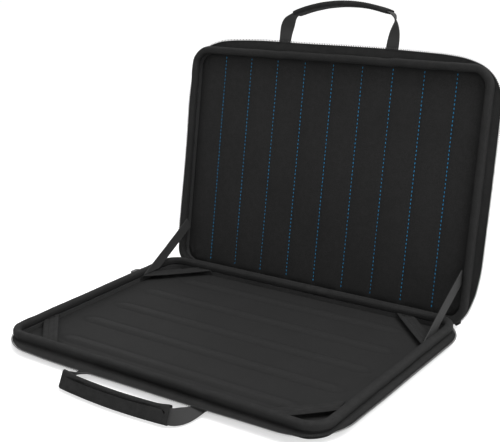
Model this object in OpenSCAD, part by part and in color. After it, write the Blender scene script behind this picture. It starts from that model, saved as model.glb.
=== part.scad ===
// Zipped hard laptop case, drawn open: two moulded halves joined by a fabric
// hinge at the back and held open by two side stays. The base half lies on
// its outer face, its centre at the origin, with the front edge towards -Y.

/* [Case] */
// Width between the centrelines of the rim bead
rim_w = 344; // [260:1:420]
// Depth between the centrelines of the rim bead
rim_d = 240; // [190:1:300]
// Height of one half, from its outer face to the top of its rim bead
half_h = 18; // [16:0.5:26]
// Corner radius of the rim bead's centreline
rim_corner_r = 18; // [14:1:24]
// Gap between the two beads when the case is shut
rim_gap = 0.8; // [0.6:0.1:2]
// Angle that the lid is open by in the photographed pose
lid_open = 101; // [70:1:110]
// Distance of the hinge line behind the rear bead's centreline
hinge_back = 0.8; // [0.5:0.1:2]
// Height of the hinge line above the underside
hinge_z = 8.7; // [7:0.1:10]

/* [Shell and lining] */
// Thickness of the moulded outer shell
shell_t = 2.4; // [1.6:0.1:3]
// Distance of the shell's outer wall outside the bead's centreline
shell_out = 2; // [1.5:0.1:3]
// Outside radius where the shell's wall meets its outer face
shell_edge_r = 8; // [5:0.5:9]
// Thickness of the foam behind the side lining
foam_wall_t = 2.5; // [1.5:0.1:3.5]
// Thickness of the foam under the inner panel
foam_floor_t = 3.6; // [2:0.1:5]
// Thickness of the side lining
lining_t = 0.8; // [0.5:0.1:1.2]
// Thickness of the inner panels
panel_t = 1; // [0.8:0.1:2]

/* [Base panel ribs] */
// Number of raised ribs pressed into the base panel
rib_count = 5; // [3:1:7]
// Distance between the ribs
rib_pitch = 44; // [30:1:50]
// Width of a rib
rib_w = 14; // [8:1:20]
// Height of a rib above the panel
rib_h = 1.4; // [0.6:0.1:2]
// Length of a rib
rib_len = 294; // [160:1:300]
// How much shorter the first and last ribs are
rib_short = 28; // [0:1:60]

/* [Lid panel channels] */
// Number of stitch lines on the padded lid panel
stitch_count = 9; // [5:1:13]
// Distance between the stitch lines
stitch_pitch = 34; // [24:0.5:40]
// Height of the padding between two stitch lines
channel_crown = 1; // [0.4:0.1:1.6]

/* [Rim bead] */
// Radius of the padded rim bead
bead_r = 4; // [3:0.1:5]
// Radius of the filler cord inside the bead
cord_r = 2.5; // [1.5:0.1:3]
// Length of the overlap where the rim binding's ends meet
join_len = 33; // [15:1:50]
// Distance of that overlap from the middle of the rear edge
join_x = 20; // [10:1:60]
// Thickness of that overlap
join_t = 0.35; // [0.2:0.05:0.4]

/* [Zip] */
// Distance of the zip coil outside the bead's centreline
coil_out = 11.3; // [9:0.1:13]
// Height of the zip coil above the outer face
coil_z = 8.7; // [8:0.1:10]
// Radius of the zip coil
coil_r = 1.3; // [0.9:0.1:1.5]
// Corner radius of the zip coil
coil_corner_r = 46; // [36:1:46]
// Thickness of the zip tape
tape_t = 0.8; // [0.5:0.1:1]
// Angle by which the zip runs on round each rear corner
zip_wrap = 50; // [20:1:60]
// Length of the zip slider
slider_len = 11; // [9:0.5:14]
// Distance of the parked slider behind the middle of the left side
slider_y = 74; // [20:1:80]
// Length of the slider's pull
pull_len = 28; // [16:1:36]
// Width of the slider's pull
pull_w = 7; // [6:0.5:10]

/* [Elastics and stays] */
// Width of the corner elastics
elastic_w = 14; // [8:0.5:20]
// Thickness of the corner elastics
elastic_t = 1.2; // [0.8:0.1:1.5]
// Height of the corner elastics' underside above the outer face
elastic_z = 11.8; // [11.2:0.1:12]
// Distance from the bead's extrapolated corner to an elastic's middle, along a side
elastic_in = 54; // [40:1:70]
// Width of the side stays
stay_w = 12; // [8:0.5:14]
// Thickness of the side stays
stay_t = 1.2; // [0.8:0.1:1.5]
// Distance of the stays' feet behind the middle of the sides
stay_foot_y = 76; // [60:1:84]
// Distance of the stays' upper ends above the lid's rear bead, along the lid
stay_rise = 47; // [40:1:60]
// Width of the fabric hinge
hinge_w = 290; // [200:1:296]
// Thickness of the fabric hinge
hinge_t = 1; // [0.6:0.1:1.2]

/* [Handles] */
// Distance from the middle to each end of a handle's webbing
handle_x = 63; // [50:1:80]
// Width of the handle webbing
strap_w = 14; // [10:0.5:18]
// Thickness of the handle webbing
strap_t = 1.4; // [1:0.1:2]
// Width of the handle sleeves
sleeve_w = 17; // [17:0.5:24]
// Thickness of the handle sleeves
sleeve_t = 5; // [4.6:0.1:7]
// Height of the webbing's ends above the outer face
handle_z = 4.6; // [4:0.1:5]
// Reach of the base handle from the rim bead, as it lies in the photograph
base_reach = 40; // [34:0.5:50]
// Tilt of the base handle's sleeve from upright
base_tilt = 24; // [5:1:40]
// Sideways shift of the base handle's sleeve
base_shift = -4.5; // [-8:0.5:8]
// Length of the base handle's sleeve
base_sleeve_len = 122; // [100:1:130]
// Reach of the lid handle's ends from the rim bead
lid_reach = 46; // [34:0.5:60]
// Rise of the lid handle's arch
lid_arch = 9; // [6:0.5:14]
// Length of the lid handle's sleeve
lid_sleeve_len = 108; // [90:1:120]
// Sideways shift of the lid handle's sleeve
lid_shift = 3; // [-6:0.5:6]
// Angle by which the lid handle hangs askew
lid_skew = 2.7; // [0:0.1:5]

/* [Hidden] */
$fn = 64;

// Clearance between pieces that lie against each other but move apart
seat_gap = 0.3;
// Height of the bead's centreline, and of the seam that it sits on
bead_z = half_h - bead_r;
seam_z = bead_z - bead_r * 0.85;
// Levels of the shell's floor, the foam's top and the panels' faces
foam_z = shell_t;
panel_z = foam_z + foam_floor_t;
face_z = panel_z + panel_t;
// Inner faces of the shell's wall, the foam and the side lining, from the bead's centreline
shell_in = shell_out - shell_t;
foam_in = shell_in - foam_wall_t;
lining_in = foam_in - lining_t;
edge_x = shell_out - shell_edge_r;
// Hinge line, and the height that mirrors the base half into the shut lid
hinge_y = rim_d / 2 + hinge_back;
shut_z = 2 * half_h + rim_gap;
// How far the crown of a lid channel dips under the panel's face at a stitch line
channel_dip = 0.08;
// Height and outer edge of the zip tape
tape_z = coil_z - tape_t / 2;
tape_out = coil_out - coil_r;
tape_leg_t = 0.6;
// Slider: clearances, plates and mouth
slider_gap = 0.3;
plate_t = 1.2;
lip_w = 1.3;
post_w = 1;
slider_w = 2 * (2 * (coil_r + slider_gap) + lip_w) + post_w;
slider_out = coil_out + coil_r + slider_gap + post_w / 2;
slider_in_h = 2 * (coil_r + slider_gap);
slider_under = coil_z - slider_in_h / 2 - plate_t;
bail_t = 1.6;
bail_bar = 1;
bail_h = 2.8;
bail_half = 2.7;
pull_t = 1.2;
pull_z = slider_under - slider_gap - pull_t / 2;
pull_eye = 3.8;
pull_arm = 1.2;
// Zip end tabs: length, width, height and cut corner
tab_len = 4;
tab_w = 4.2;
tab_in = 2.4;
tab_cut = 3;
// Height of the stays' upper ends over the lid's rim, and the hole in the pull
stay_in = 5.5;
pull_hole_r = 1.5;
pull_hole_in = 4.5;
// Webbing loft: stations on each leg and along the sleeve, and how late the legs turn
leg_steps = 14;
run_steps = 10;
base_late = 2;
lid_late = 3;

CHARCOAL = [0.13, 0.13, 0.14];
FABRIC = [0.17, 0.17, 0.18];
PANEL = [0.22, 0.22, 0.23];
PADDING = [0.2, 0.2, 0.21];
FOAM = [0.3, 0.3, 0.31];
WEBBING = [0.15, 0.15, 0.16];
ZIP = [0.1, 0.1, 0.11];

// ---- shared forms ----

// Rounded rectangle centred on the origin
module rounded_rect(w, d, r) {
    square([w - 2 * r, d], center = true);
    square([w, d - 2 * r], center = true);
    for (x = [-1, 1], y = [-1, 1])
        translate([x * (w / 2 - r), y * (d / 2 - r)]) circle(r);
}

// Outline of the rim bead's centreline, moved outwards by out
module rim_outline(out) {
    rounded_rect(rim_w + 2 * out, rim_d + 2 * out, rim_corner_r + out);
}

// Sweeps a profile (x outwards, y upwards) round a rounded rectangle; the rear
// corners turn by rear_turn only, and the rear side is left out when that is under 90
module sweep(w, d, r, rear_turn = 90) {
    corner_x = w / 2 - r;
    corner_y = d / 2 - r;
    for (i = [0 : 3])
        if (i != 1 || rear_turn == 90)
            rotate(90 * i) translate([(i % 2 == 0 ? w : d) / 2, 0, 0]) rotate([90, 0, 0])
                linear_extrude(2 * (i % 2 == 0 ? corner_y : corner_x), center = true) children();
    for (side = [0, 1]) mirror([side, 0, 0]) {
        translate([corner_x, corner_y, 0]) rotate_extrude(angle = rear_turn)
            translate([r, 0]) children();
        translate([corner_x, -corner_y, 0]) rotate([0, 0, -90]) rotate_extrude(angle = 90)
            translate([r, 0]) children();
    }
}

module rim_sweep() { sweep(rim_w, rim_d, rim_corner_r) children(); }

module coil_sweep() {
    sweep(rim_w + 2 * coil_out, rim_d + 2 * coil_out, coil_corner_r, zip_wrap) children();
}

// Puts a half drawn as the base into the place of the open lid
module as_lid() {
    translate([0, hinge_y, hinge_z]) rotate([-lid_open, 0, 0]) translate([0, -hinge_y, -hinge_z])
        translate([0, 0, shut_z]) mirror([0, 0, 1]) children();
}

// ---- the two halves ----

// Section of the shell's rounded edge and wall
module shell_section() {
    intersection() {
        translate([edge_x, shell_edge_r]) difference() {
            circle(shell_edge_r);
            circle(shell_edge_r - shell_t);
        }
        translate([edge_x, 0]) square(shell_edge_r);
    }
    translate([shell_in, shell_edge_r]) square([shell_t, seam_z - shell_edge_r]);
}

module shell() {
    rim_sweep() shell_section();
    linear_extrude(shell_t) rim_outline(edge_x);
}

// Section of the foam where it fills the shell's rounded edge
module foam_section() {
    difference() {
        union() {
            intersection() {
                translate([edge_x, shell_edge_r]) circle(shell_edge_r - shell_t);
                translate([edge_x, 0]) square(shell_edge_r);
            }
            translate([edge_x, shell_edge_r]) square([shell_in - edge_x, seam_z - shell_edge_r]);
        }
        translate([edge_x - 1, panel_z]) square([foam_in - edge_x + 1, half_h]);
    }
}

module foam() {
    rim_sweep() foam_section();
    translate([0, 0, foam_z]) linear_extrude(foam_floor_t) rim_outline(edge_x);
}

module side_lining() {
    rim_sweep() translate([lining_in, panel_z]) square([lining_t, seam_z - panel_z]);
}

// The rim binding: a padded tube whose flat underside sits on the seam
module rim_binding() {
    rim_sweep() translate([0, bead_z]) difference() {
        circle(bead_r);
        circle(cord_r);
        translate([-bead_r, -2 * bead_r + seam_z - bead_z]) square(2 * bead_r);
    }
}

module rim_cord() {
    rim_sweep() translate([0, bead_z]) circle(cord_r);
}

// Overlapping ends of the binding, on the rear bead
module rim_join(x) {
    translate([x, rim_d / 2, bead_z]) rotate([90, 0, 90]) linear_extrude(join_len, center = true)
        difference() {
            circle(bead_r + join_t);
            circle(bead_r);
            translate([-2 * bead_r, -3 * bead_r]) square([4 * bead_r, 3 * bead_r - bead_r * 0.5]);
        }
}

// The rear stretch where the case has no zip, between the two rear corners
module zip_free() {
    cx = rim_w / 2 + coil_out - coil_corner_r;
    cy = rim_d / 2 + coil_out - coil_corner_r;
    far = rim_d;
    polygon([
        [cx, cy], [cx + far * cos(zip_wrap), cy + far * sin(zip_wrap)],
        [-cx - far * cos(zip_wrap), cy + far * sin(zip_wrap)], [-cx, cy]]);
}

// The zip tape: sewn up into the seam and lying flat outside it, open along the rear
module zip_tape() {
    translate([0, 0, tape_z]) linear_extrude(tape_t) difference() {
        rounded_rect(rim_w + 2 * tape_out, rim_d + 2 * tape_out, coil_corner_r - coil_r);
        rim_outline(shell_out);
        zip_free();
    }
    translate([0, 0, tape_z + tape_t]) linear_extrude(seam_z - tape_z - tape_t) difference() {
        rim_outline(shell_out + tape_leg_t);
        rim_outline(shell_out);
        zip_free();
    }
}

module zip_coil() {
    coil_sweep() translate([0, coil_z]) circle(coil_r);
}

// Folded fabric tabs over the two ends of the zip
module zip_ends() {
    for (side = [0, 1]) mirror([side, 0, 0])
        translate([rim_w / 2 + coil_out - coil_corner_r, rim_d / 2 + coil_out - coil_corner_r, 0])
            rotate(zip_wrap) translate([coil_corner_r, 0, coil_z]) difference() {
                translate([-tab_in, 0, -tab_len / 2]) cube([tab_w, tab_len, tab_len]);
                translate([tab_w - tab_in, tab_len, -tab_len])
                    rotate(45) cube([tab_cut, tab_cut, 2 * tab_len]);
            }
}

// ---- base half ----

module base_shell() { color(CHARCOAL) shell(); }
module base_foam() { color(FOAM) foam(); }
module base_side_lining() { color(FABRIC) side_lining(); }
module base_rim_binding() { color(CHARCOAL) rim_binding(); }
module base_rim_cord() { color(FOAM) rim_cord(); }
module base_rim_join() { color(FABRIC) rim_join(join_x); }
module base_zip_tape() { color(WEBBING) zip_tape(); }
module base_zip_coil() { color(ZIP) zip_coil(); }
module base_zip_ends() { color(FABRIC) zip_ends(); }

// A pressed rib: a shallow segment of a cylinder with domed ends
module rib(len) {
    r = (rib_w * rib_w / 4 + rib_h * rib_h) / (2 * rib_h);
    intersection() {
        translate([0, 0, rib_h - r]) {
            rotate([0, 90, 0]) cylinder(r = r, h = len - rib_w, center = true, $fn = 180);
            for (x = [-1, 1]) translate([x * (len - rib_w) / 2, 0, 0]) sphere(r, $fn = 180);
        }
        translate([-len / 2 - 1, -rib_w, -panel_t / 2]) cube([len + 2, 2 * rib_w, 2 * rib_h + panel_t]);
    }
}

module base_panel() {
    color(PANEL) {
        translate([0, 0, panel_z]) linear_extrude(panel_t) rim_outline(lining_in);
        for (i = [0 : rib_count - 1])
            translate([0, (i - (rib_count - 1) / 2) * rib_pitch, face_z])
                rib(i == 0 || i == rib_count - 1 ? rib_len - rib_short : rib_len);
    }
}

// A ribbed elastic across the front right corner, its ends turned down to the panel
module elastic() {
    reach = rim_w / 2 + rim_d / 2 - elastic_in;
    inside = -bead_r - seat_gap;
    ridge = elastic_w / 3;
    module band(z, h) {
        translate([0, 0, z]) linear_extrude(h)
            translate([reach, 0]) rotate(45) square([elastic_w, 2 * rim_w], center = true);
    }
    mirror([0, 1, 0]) intersection() {
        union() {
            band(elastic_z, elastic_t);
            for (i = [-1 : 1])
                translate([reach, 0, elastic_z + elastic_t]) rotate(45)
                    translate([i * ridge, 0, 0]) rotate([90, 0, 0])
                        linear_extrude(2 * rim_w, center = true)
                            intersection() {
                                translate([0, -ridge]) circle(ridge * 1.06);
                                translate([-ridge / 2, 0]) square(ridge);
                            }
            difference() {
                band(face_z, elastic_z - face_z + elastic_t);
                translate([0, 0, -1]) linear_extrude(2 * half_h) rim_outline(inside - elastic_t);
            }
        }
        translate([0, 0, face_z]) linear_extrude(half_h) rim_outline(inside);
        cube([rim_w, rim_d, 4 * half_h]);
    }
}

module elastic_front_right() { color(WEBBING) elastic(); }
module elastic_front_left() { color(WEBBING) mirror([1, 0, 0]) elastic(); }
module elastic_back_right() { color(WEBBING) mirror([0, 1, 0]) elastic(); }
module elastic_back_left() { color(WEBBING) mirror([1, 0, 0]) mirror([0, 1, 0]) elastic(); }

// ---- lid half ----

module lid_shell() { color(CHARCOAL) as_lid() shell(); }
module lid_foam() { color(FOAM) as_lid() foam(); }
module lid_side_lining() { color(FABRIC) as_lid() side_lining(); }
module lid_rim_binding() { color(CHARCOAL) as_lid() rim_binding(); }
module lid_rim_cord() { color(FOAM) as_lid() rim_cord(); }
module lid_rim_join() { color(FABRIC) as_lid() rim_join(-join_x); }
module lid_zip_tape() { color(WEBBING) as_lid() zip_tape(); }
module lid_zip_coil() { color(ZIP) as_lid() zip_coil(); }
module lid_zip_ends() { color(FABRIC) as_lid() zip_ends(); }

// The padded lid panel: its crowned channels run from front to rear
module lid_panel() {
    half_w = rim_w / 2 + lining_in;
    half_d = rim_d / 2 + lining_in;
    // Edges of the channels: the stitch lines, and the panel's two sides
    edges = concat([-half_w], [for (i = [0 : stitch_count - 1]) (i - (stitch_count - 1) / 2) * stitch_pitch],
                   [half_w]);
    color(PADDING) as_lid() intersection() {
        translate([0, 0, panel_z]) linear_extrude(panel_t + 2 * channel_crown) rim_outline(lining_in);
        translate([0, 0, panel_z]) rotate([90, 0, 0]) linear_extrude(2 * half_d, center = true) {
            translate([-half_w, 0]) square([2 * half_w, panel_t]);
            for (i = [0 : stitch_count]) channel(edges[i], edges[i + 1]);
        }
    }
}

// One channel's crown, between two edges; it dips just under the panel's face at both,
// which leaves a narrow groove for the stitches
module channel(from, to) {
    chord = (to - from) / 2;
    rise = channel_crown + channel_dip;
    r = (chord * chord + rise * rise) / (2 * rise);
    intersection() {
        translate([(from + to) / 2, panel_t + channel_crown - r]) circle(r, $fn = 180);
        translate([from, panel_t / 2]) square([to - from, panel_t / 2 + 2 * channel_crown]);
    }
}

// ---- hinge and stays ----

// Outline of a strip of thickness t along a path
function normal_at(p, i) =
    let (a = p[max(i - 1, 0)], b = p[min(i + 1, len(p) - 1)], v = (b - a) / norm(b - a)) [-v[1], v[0]];
function strip(p, t) = concat(
    [for (i = [0 : len(p) - 1]) p[i] + normal_at(p, i) * t / 2],
    [for (i = [len(p) - 1 : -1 : 0]) p[i] - normal_at(p, i) * t / 2]);

// A point of the shut lid's section (y, z) at the lid's open angle
function opened(p) =
    let (y = p[0] - hinge_y, z = p[1] - hinge_z)
    [hinge_y + y * cos(lid_open) + z * sin(lid_open), hinge_z - y * sin(lid_open) + z * cos(lid_open)];

// Fabric hinge: down the base's rear wall, under the lid's rear bead and on to the lid's wall
module hinge_fabric() {
    off = shell_out + seat_gap + hinge_t / 2;
    y0 = rim_d / 2 + off;
    bend = 2.4;
    floor_z = hinge_t / 2 + 0.6;
    lid_start = opened([rim_d / 2 + off, shut_z - seam_z + 0.6]);
    lid_end = opened([rim_d / 2 + off, shut_z - shell_edge_r - 0.4]);
    path = concat(
        [[y0, seam_z - 1]],
        [for (a = [0 : 15 : 90]) [y0 + bend * (1 - cos(a)), floor_z + bend * (1 - sin(a))]],
        [[lid_start[0] - 2.2, floor_z], lid_start + [0.6, -0.2], lid_end]);
    color(FABRIC) rotate([90, 0, 90]) linear_extrude(hinge_w, center = true) polygon(strip(path, hinge_t));
}

// Side stay: flat webbing from the base's rim up to the lid's rim
module stay() {
    foot = [stay_foot_y, elastic_z + elastic_t + 0.6];
    top = opened([rim_d / 2 - stay_rise, shut_z - half_h + stay_in]);
    inside = rim_w / 2 - bead_r - seat_gap - stay_t;
    along = (top - foot) / norm(top - foot);
    color(WEBBING) translate([inside, 0, 0]) rotate([90, 0, 90]) linear_extrude(stay_t)
        intersection() {
            polygon(strip([foot - along * stay_w, top], stay_w));
            translate([0, foot[1]]) square([rim_d, rim_d]);
        }
}

module stay_right() { stay(); }
module stay_left() { mirror([1, 0, 0]) stay(); }

// ---- handles ----

function bezier(p, t) =
    pow(1 - t, 3) * p[0] + 3 * t * pow(1 - t, 2) * p[1] + 3 * t * t * (1 - t) * p[2] + pow(t, 3) * p[3];
function slope(p, t) =
    pow(1 - t, 2) * (p[1] - p[0]) + 2 * t * (1 - t) * (p[2] - p[1]) + t * t * (p[3] - p[2]);
function unit(v) = v / norm(v);
// Station of the webbing: centre, width direction and thickness direction
function station(at, along, across) =
    let (t = unit(along), w = unit(across - (across * t) * t)) [at, w, cross(t, w)];
// Stations of one leg, from the case to the sleeve; it turns from lying flat to edge on
function leg(p, side, across, late) =
    [for (i = [0 : leg_steps - 1])
        let (t = i / leg_steps, turn = 90 * pow(sin(90 * t), late))
        station(bezier(p, t), slope(p, t), [-side * cos(turn), 0, 0] + across * sin(turn))];
function reversed(list) = [for (i = [len(list) - 1 : -1 : 0]) list[i]];
// The same stations passed through the other way
function turned(list) = [for (s = reversed(list)) [s[0], s[1], -s[2]]];

// Webbing lofted through its stations
module webbing(stations) {
    n = len(stations);
    points = [for (s = stations, c = [[-1, -1], [1, -1], [1, 1], [-1, 1]])
        s[0] + s[1] * c[0] * strap_w / 2 + s[2] * c[1] * strap_t / 2];
    sides = [for (i = [0 : n - 2], k = [0 : 3])
        let (a = 4 * i + k, b = 4 * i + (k + 1) % 4) each [[a, b, b + 4], [a, b + 4, a + 4]]];
    polyhedron(points, concat([[3, 2, 1, 0]], sides, [[0, 1, 2, 3] + 4 * (n - 1) * [1, 1, 1, 1]]));
}

// Section of a sleeve: a folded cover with the webbing's slot through it
module sleeve_section() {
    difference() {
        rounded_rect(sleeve_t, sleeve_w, sleeve_t / 2 - 0.2);
        square([strap_t + 2 * seat_gap, strap_w + 2 * seat_gap], center = true);
    }
}

// Base handle, lying out over the floor in front of the case
base_handle_y = -rim_d / 2 - base_reach;
base_handle_z = seat_gap + cos(base_tilt) * sleeve_w / 2 + sin(base_tilt) * sleeve_t / 2;
base_across = [0, sin(base_tilt), cos(base_tilt)];

module base_handle_strap() {
    left = [base_shift - base_sleeve_len / 2, base_handle_y, base_handle_z];
    right = [base_shift + base_sleeve_len / 2, base_handle_y, base_handle_z];
    wall = [0, -rim_d / 2 - shell_out - seat_gap, handle_z];
    out = [0, -16, 0];
    left_end = wall - [handle_x, 0, 0];
    right_end = wall + [handle_x, 0, 0];
    color(WEBBING) webbing(concat(
        leg([left_end, left_end + out, left - [8, 0, 0], left], -1, base_across, base_late),
        [for (i = [0 : run_steps])
            station(left + (right - left) * i / run_steps, right - left, base_across)],
        turned(leg([right_end, right_end + out, right + [8, 0, 0], right], 1, base_across, base_late))));
}

module base_handle_sleeve() {
    color(FABRIC) translate([base_shift, base_handle_y, base_handle_z]) rotate([-base_tilt, 0, 0])
        rotate([90, 0, 90]) linear_extrude(base_sleeve_len, center = true) sleeve_section();
}

// Lid handle, standing off the lid's free edge with an arched sleeve
arch_r = (pow(lid_sleeve_len / 2, 2) + pow(lid_arch, 2)) / (2 * lid_arch);
arch_angle = asin(lid_sleeve_len / 2 / arch_r);
arch_foot = [lid_shift, -rim_d / 2 - lid_reach, handle_z];
arch_y = arch_r - lid_arch;

// Turns a vector by the handle's skew
function skewed(v) =
    [v[0] * cos(lid_skew) + v[1] * sin(lid_skew), v[1] * cos(lid_skew) - v[0] * sin(lid_skew), v[2]];
function arch_point(a) = arch_foot + skewed([arch_r * sin(a), arch_y - arch_r * cos(a), 0]);

module lid_handle_strap() {
    across = [0, 0, -1];
    left = arch_point(-arch_angle);
    right = arch_point(arch_angle);
    reach = 12;
    ahead = skewed([cos(arch_angle), -sin(arch_angle), 0]);
    back = skewed([cos(arch_angle), sin(arch_angle), 0]);
    wall = [0, -rim_d / 2 - shell_out - seat_gap, handle_z];
    out = [0, -24, 0];
    left_end = wall - [handle_x, 0, 0];
    right_end = wall + [handle_x, 0, 0];
    color(WEBBING) as_lid() webbing(concat(
        leg([left_end, left_end + out, left - reach * ahead, left], -1, across, lid_late),
        [for (i = [0 : run_steps])
            let (a = arch_angle * (2 * i / run_steps - 1))
            station(arch_point(a), skewed([cos(a), sin(a), 0]), across)],
        turned(leg([right_end, right_end + out, right + reach * back, right], 1, across, lid_late))));
}

module lid_handle_sleeve() {
    color(FABRIC) as_lid() translate(arch_foot) rotate(-lid_skew) translate([0, arch_y, 0])
        rotate(-90 - arch_angle) rotate_extrude(angle = 2 * arch_angle, $fn = 180)
            translate([arch_r, 0]) sleeve_section();
}

// ---- zip slider ----

// Places what is drawn at the slider's own middle on the left side's coil
module at_slider() {
    translate([-rim_w / 2 - slider_out, slider_y, 0]) children();
}

// Slider body: two plates joined by a post, with lips that hold the coils in
module zip_slider() {
    color(ZIP) at_slider() {
        difference() {
            translate([0, 0, slider_under]) linear_extrude(slider_in_h + 2 * plate_t)
                rounded_rect(slider_w, slider_len, 2);
            // the two coils' channels and the tapes' slots
            for (side = [-1, 1]) {
                translate([side * (post_w / 2 + slider_in_h / 2), 0, coil_z])
                    cube([slider_in_h, slider_len + 2, slider_in_h], center = true);
                translate([side * slider_w / 2, 0, coil_z])
                    cube([2 * lip_w + 0.2, slider_len + 2, tape_t + 2 * slider_gap], center = true);
            }
        }
        // bail under the body, with its window for the pull
        difference() {
            translate([-bail_t / 2, -bail_half, slider_under - bail_h])
                cube([bail_t, 2 * bail_half, bail_h]);
            translate([-bail_t, -bail_half + bail_bar, slider_under - bail_h + bail_bar])
                cube([2 * bail_t, 2 * (bail_half - bail_bar), bail_h - bail_bar]);
        }
    }
}

// Pull: a flat tab whose end bar runs through the bail
module zip_pull() {
    eye_w = bail_t + 2 * 0.4;
    eye_out = eye_w + 2 * pull_arm;
    color(ZIP) at_slider() translate([0, 0, pull_z]) {
        rotate([0, 90, 0]) cylinder(d = pull_t, h = eye_out, center = true);
        for (side = [-1, 1])
            translate([side * (eye_w + pull_arm) / 2 - pull_arm / 2, -pull_eye, -pull_t / 2])
                cube([pull_arm, pull_eye, pull_t]);
        translate([0, 0, -pull_t / 2]) linear_extrude(pull_t) difference() {
            translate([0, -(pull_len + pull_eye) / 2]) rounded_rect(pull_w, pull_len - pull_eye, 2.2);
            translate([0, -pull_len + pull_hole_in]) circle(pull_hole_r);
        }
    }
}

base_shell();
base_foam();
base_panel();
base_side_lining();
base_rim_binding();
base_rim_cord();
base_rim_join();
base_zip_tape();
base_zip_coil();
base_zip_ends();
elastic_front_left();
elastic_front_right();
elastic_back_left();
elastic_back_right();
lid_shell();
lid_foam();
lid_panel();
lid_side_lining();
lid_rim_binding();
lid_rim_cord();
lid_rim_join();
lid_zip_tape();
lid_zip_coil();
lid_zip_ends();
hinge_fabric();
stay_left();
stay_right();
base_handle_strap();
base_handle_sleeve();
lid_handle_strap();
lid_handle_sleeve();
zip_slider();
zip_pull();
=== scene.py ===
"""Zipped hard laptop case: its cloth, padding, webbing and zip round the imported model.

Every piece is drawn in millimetres as part of the base half, whose outer face lies
on z = 0, and Half.place puts it where it belongs in the frame.
"""

import sys
import logging
import math
from collections.abc import Callable, Iterable, Sequence
from dataclasses import dataclass, field
from enum import Enum
from typing import NamedTuple

import bmesh
import bpy
from bmesh.types import BMEdge, BMesh, BMVert
from mathutils import Matrix, Vector, noise


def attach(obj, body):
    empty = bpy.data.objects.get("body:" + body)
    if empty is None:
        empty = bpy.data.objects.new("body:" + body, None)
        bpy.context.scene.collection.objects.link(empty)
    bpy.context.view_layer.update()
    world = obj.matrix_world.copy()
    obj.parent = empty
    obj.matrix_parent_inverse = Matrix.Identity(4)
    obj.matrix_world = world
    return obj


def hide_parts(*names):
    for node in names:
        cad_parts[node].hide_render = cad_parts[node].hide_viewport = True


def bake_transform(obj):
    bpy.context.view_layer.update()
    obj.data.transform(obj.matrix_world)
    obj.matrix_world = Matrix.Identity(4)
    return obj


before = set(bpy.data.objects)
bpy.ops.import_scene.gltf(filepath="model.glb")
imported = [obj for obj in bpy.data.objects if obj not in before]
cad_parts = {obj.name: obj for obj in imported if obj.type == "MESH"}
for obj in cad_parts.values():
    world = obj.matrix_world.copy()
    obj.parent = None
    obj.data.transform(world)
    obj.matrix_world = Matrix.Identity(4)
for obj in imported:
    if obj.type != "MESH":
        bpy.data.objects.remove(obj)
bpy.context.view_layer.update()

LOG = logging.getLogger("laptop_case")
MM = 0.001
SHARP_ANGLE = math.radians(38)
UP = Vector((0, 0, 1))

Point = tuple[float, float, float]
Shade = tuple[int, int, int]
Profile = Sequence[tuple[float, float]]


# ---- sizes and places ----


@dataclass(frozen=True)
class CaseSizes:
    """Sizes that several sub-assemblies share, in millimetres."""

    rim_w: float = 344.0
    rim_d: float = 240.0
    corner_r: float = 18.0
    half_h: float = 18.0
    rim_gap: float = 0.8
    lid_open: float = 101.0
    hinge_y: float = 120.8
    hinge_z: float = 8.7
    bead_r: float = 4.0
    bead_z: float = 14.0
    seam_z: float = 10.6
    shell_out: float = 2.0
    panel_z: float = 6.0
    face_z: float = 7.0
    lining_in: float = -3.7
    handle_x: float = 63.0
    handle_z: float = 4.6

    @property
    def shut_z(self) -> float:
        """Height that mirrors the base half into the shut lid."""
        return 2 * self.half_h + self.rim_gap

    def opened(self, y: float, z: float) -> tuple[float, float]:
        """Moves a point of the shut lid's section to the open lid.

        Args:
            y: Distance behind the case's middle, lid shut.
            z: Height above the floor, lid shut.

        Returns:
            The point's y and z with the lid open.
        """
        turn = math.radians(self.lid_open)
        across, up = y - self.hinge_y, z - self.hinge_z
        return (
            self.hinge_y + across * math.cos(turn) + up * math.sin(turn),
            self.hinge_z - across * math.sin(turn) + up * math.cos(turn),
        )


CASE = CaseSizes()


class Half(Enum):
    """The two moulded halves; each name is also its CAD body."""

    BASE = "base"
    LID = "lid"

    @property
    def place(self) -> Matrix:
        """Matrix from base millimetres to the half's place in the frame."""
        scale = Matrix.Scale(MM, 4)
        if self is Half.BASE:
            return scale
        hinge = Vector((0, CASE.hinge_y, CASE.hinge_z))
        mirrored = Matrix.Translation((0, 0, CASE.shut_z)) @ Matrix.Scale(-1, 4, (0, 0, 1))
        turned = Matrix.Rotation(-math.radians(CASE.lid_open), 4, "X")
        return scale @ Matrix.Translation(hinge) @ turned @ Matrix.Translation(-hinge) @ mirrored


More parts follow.
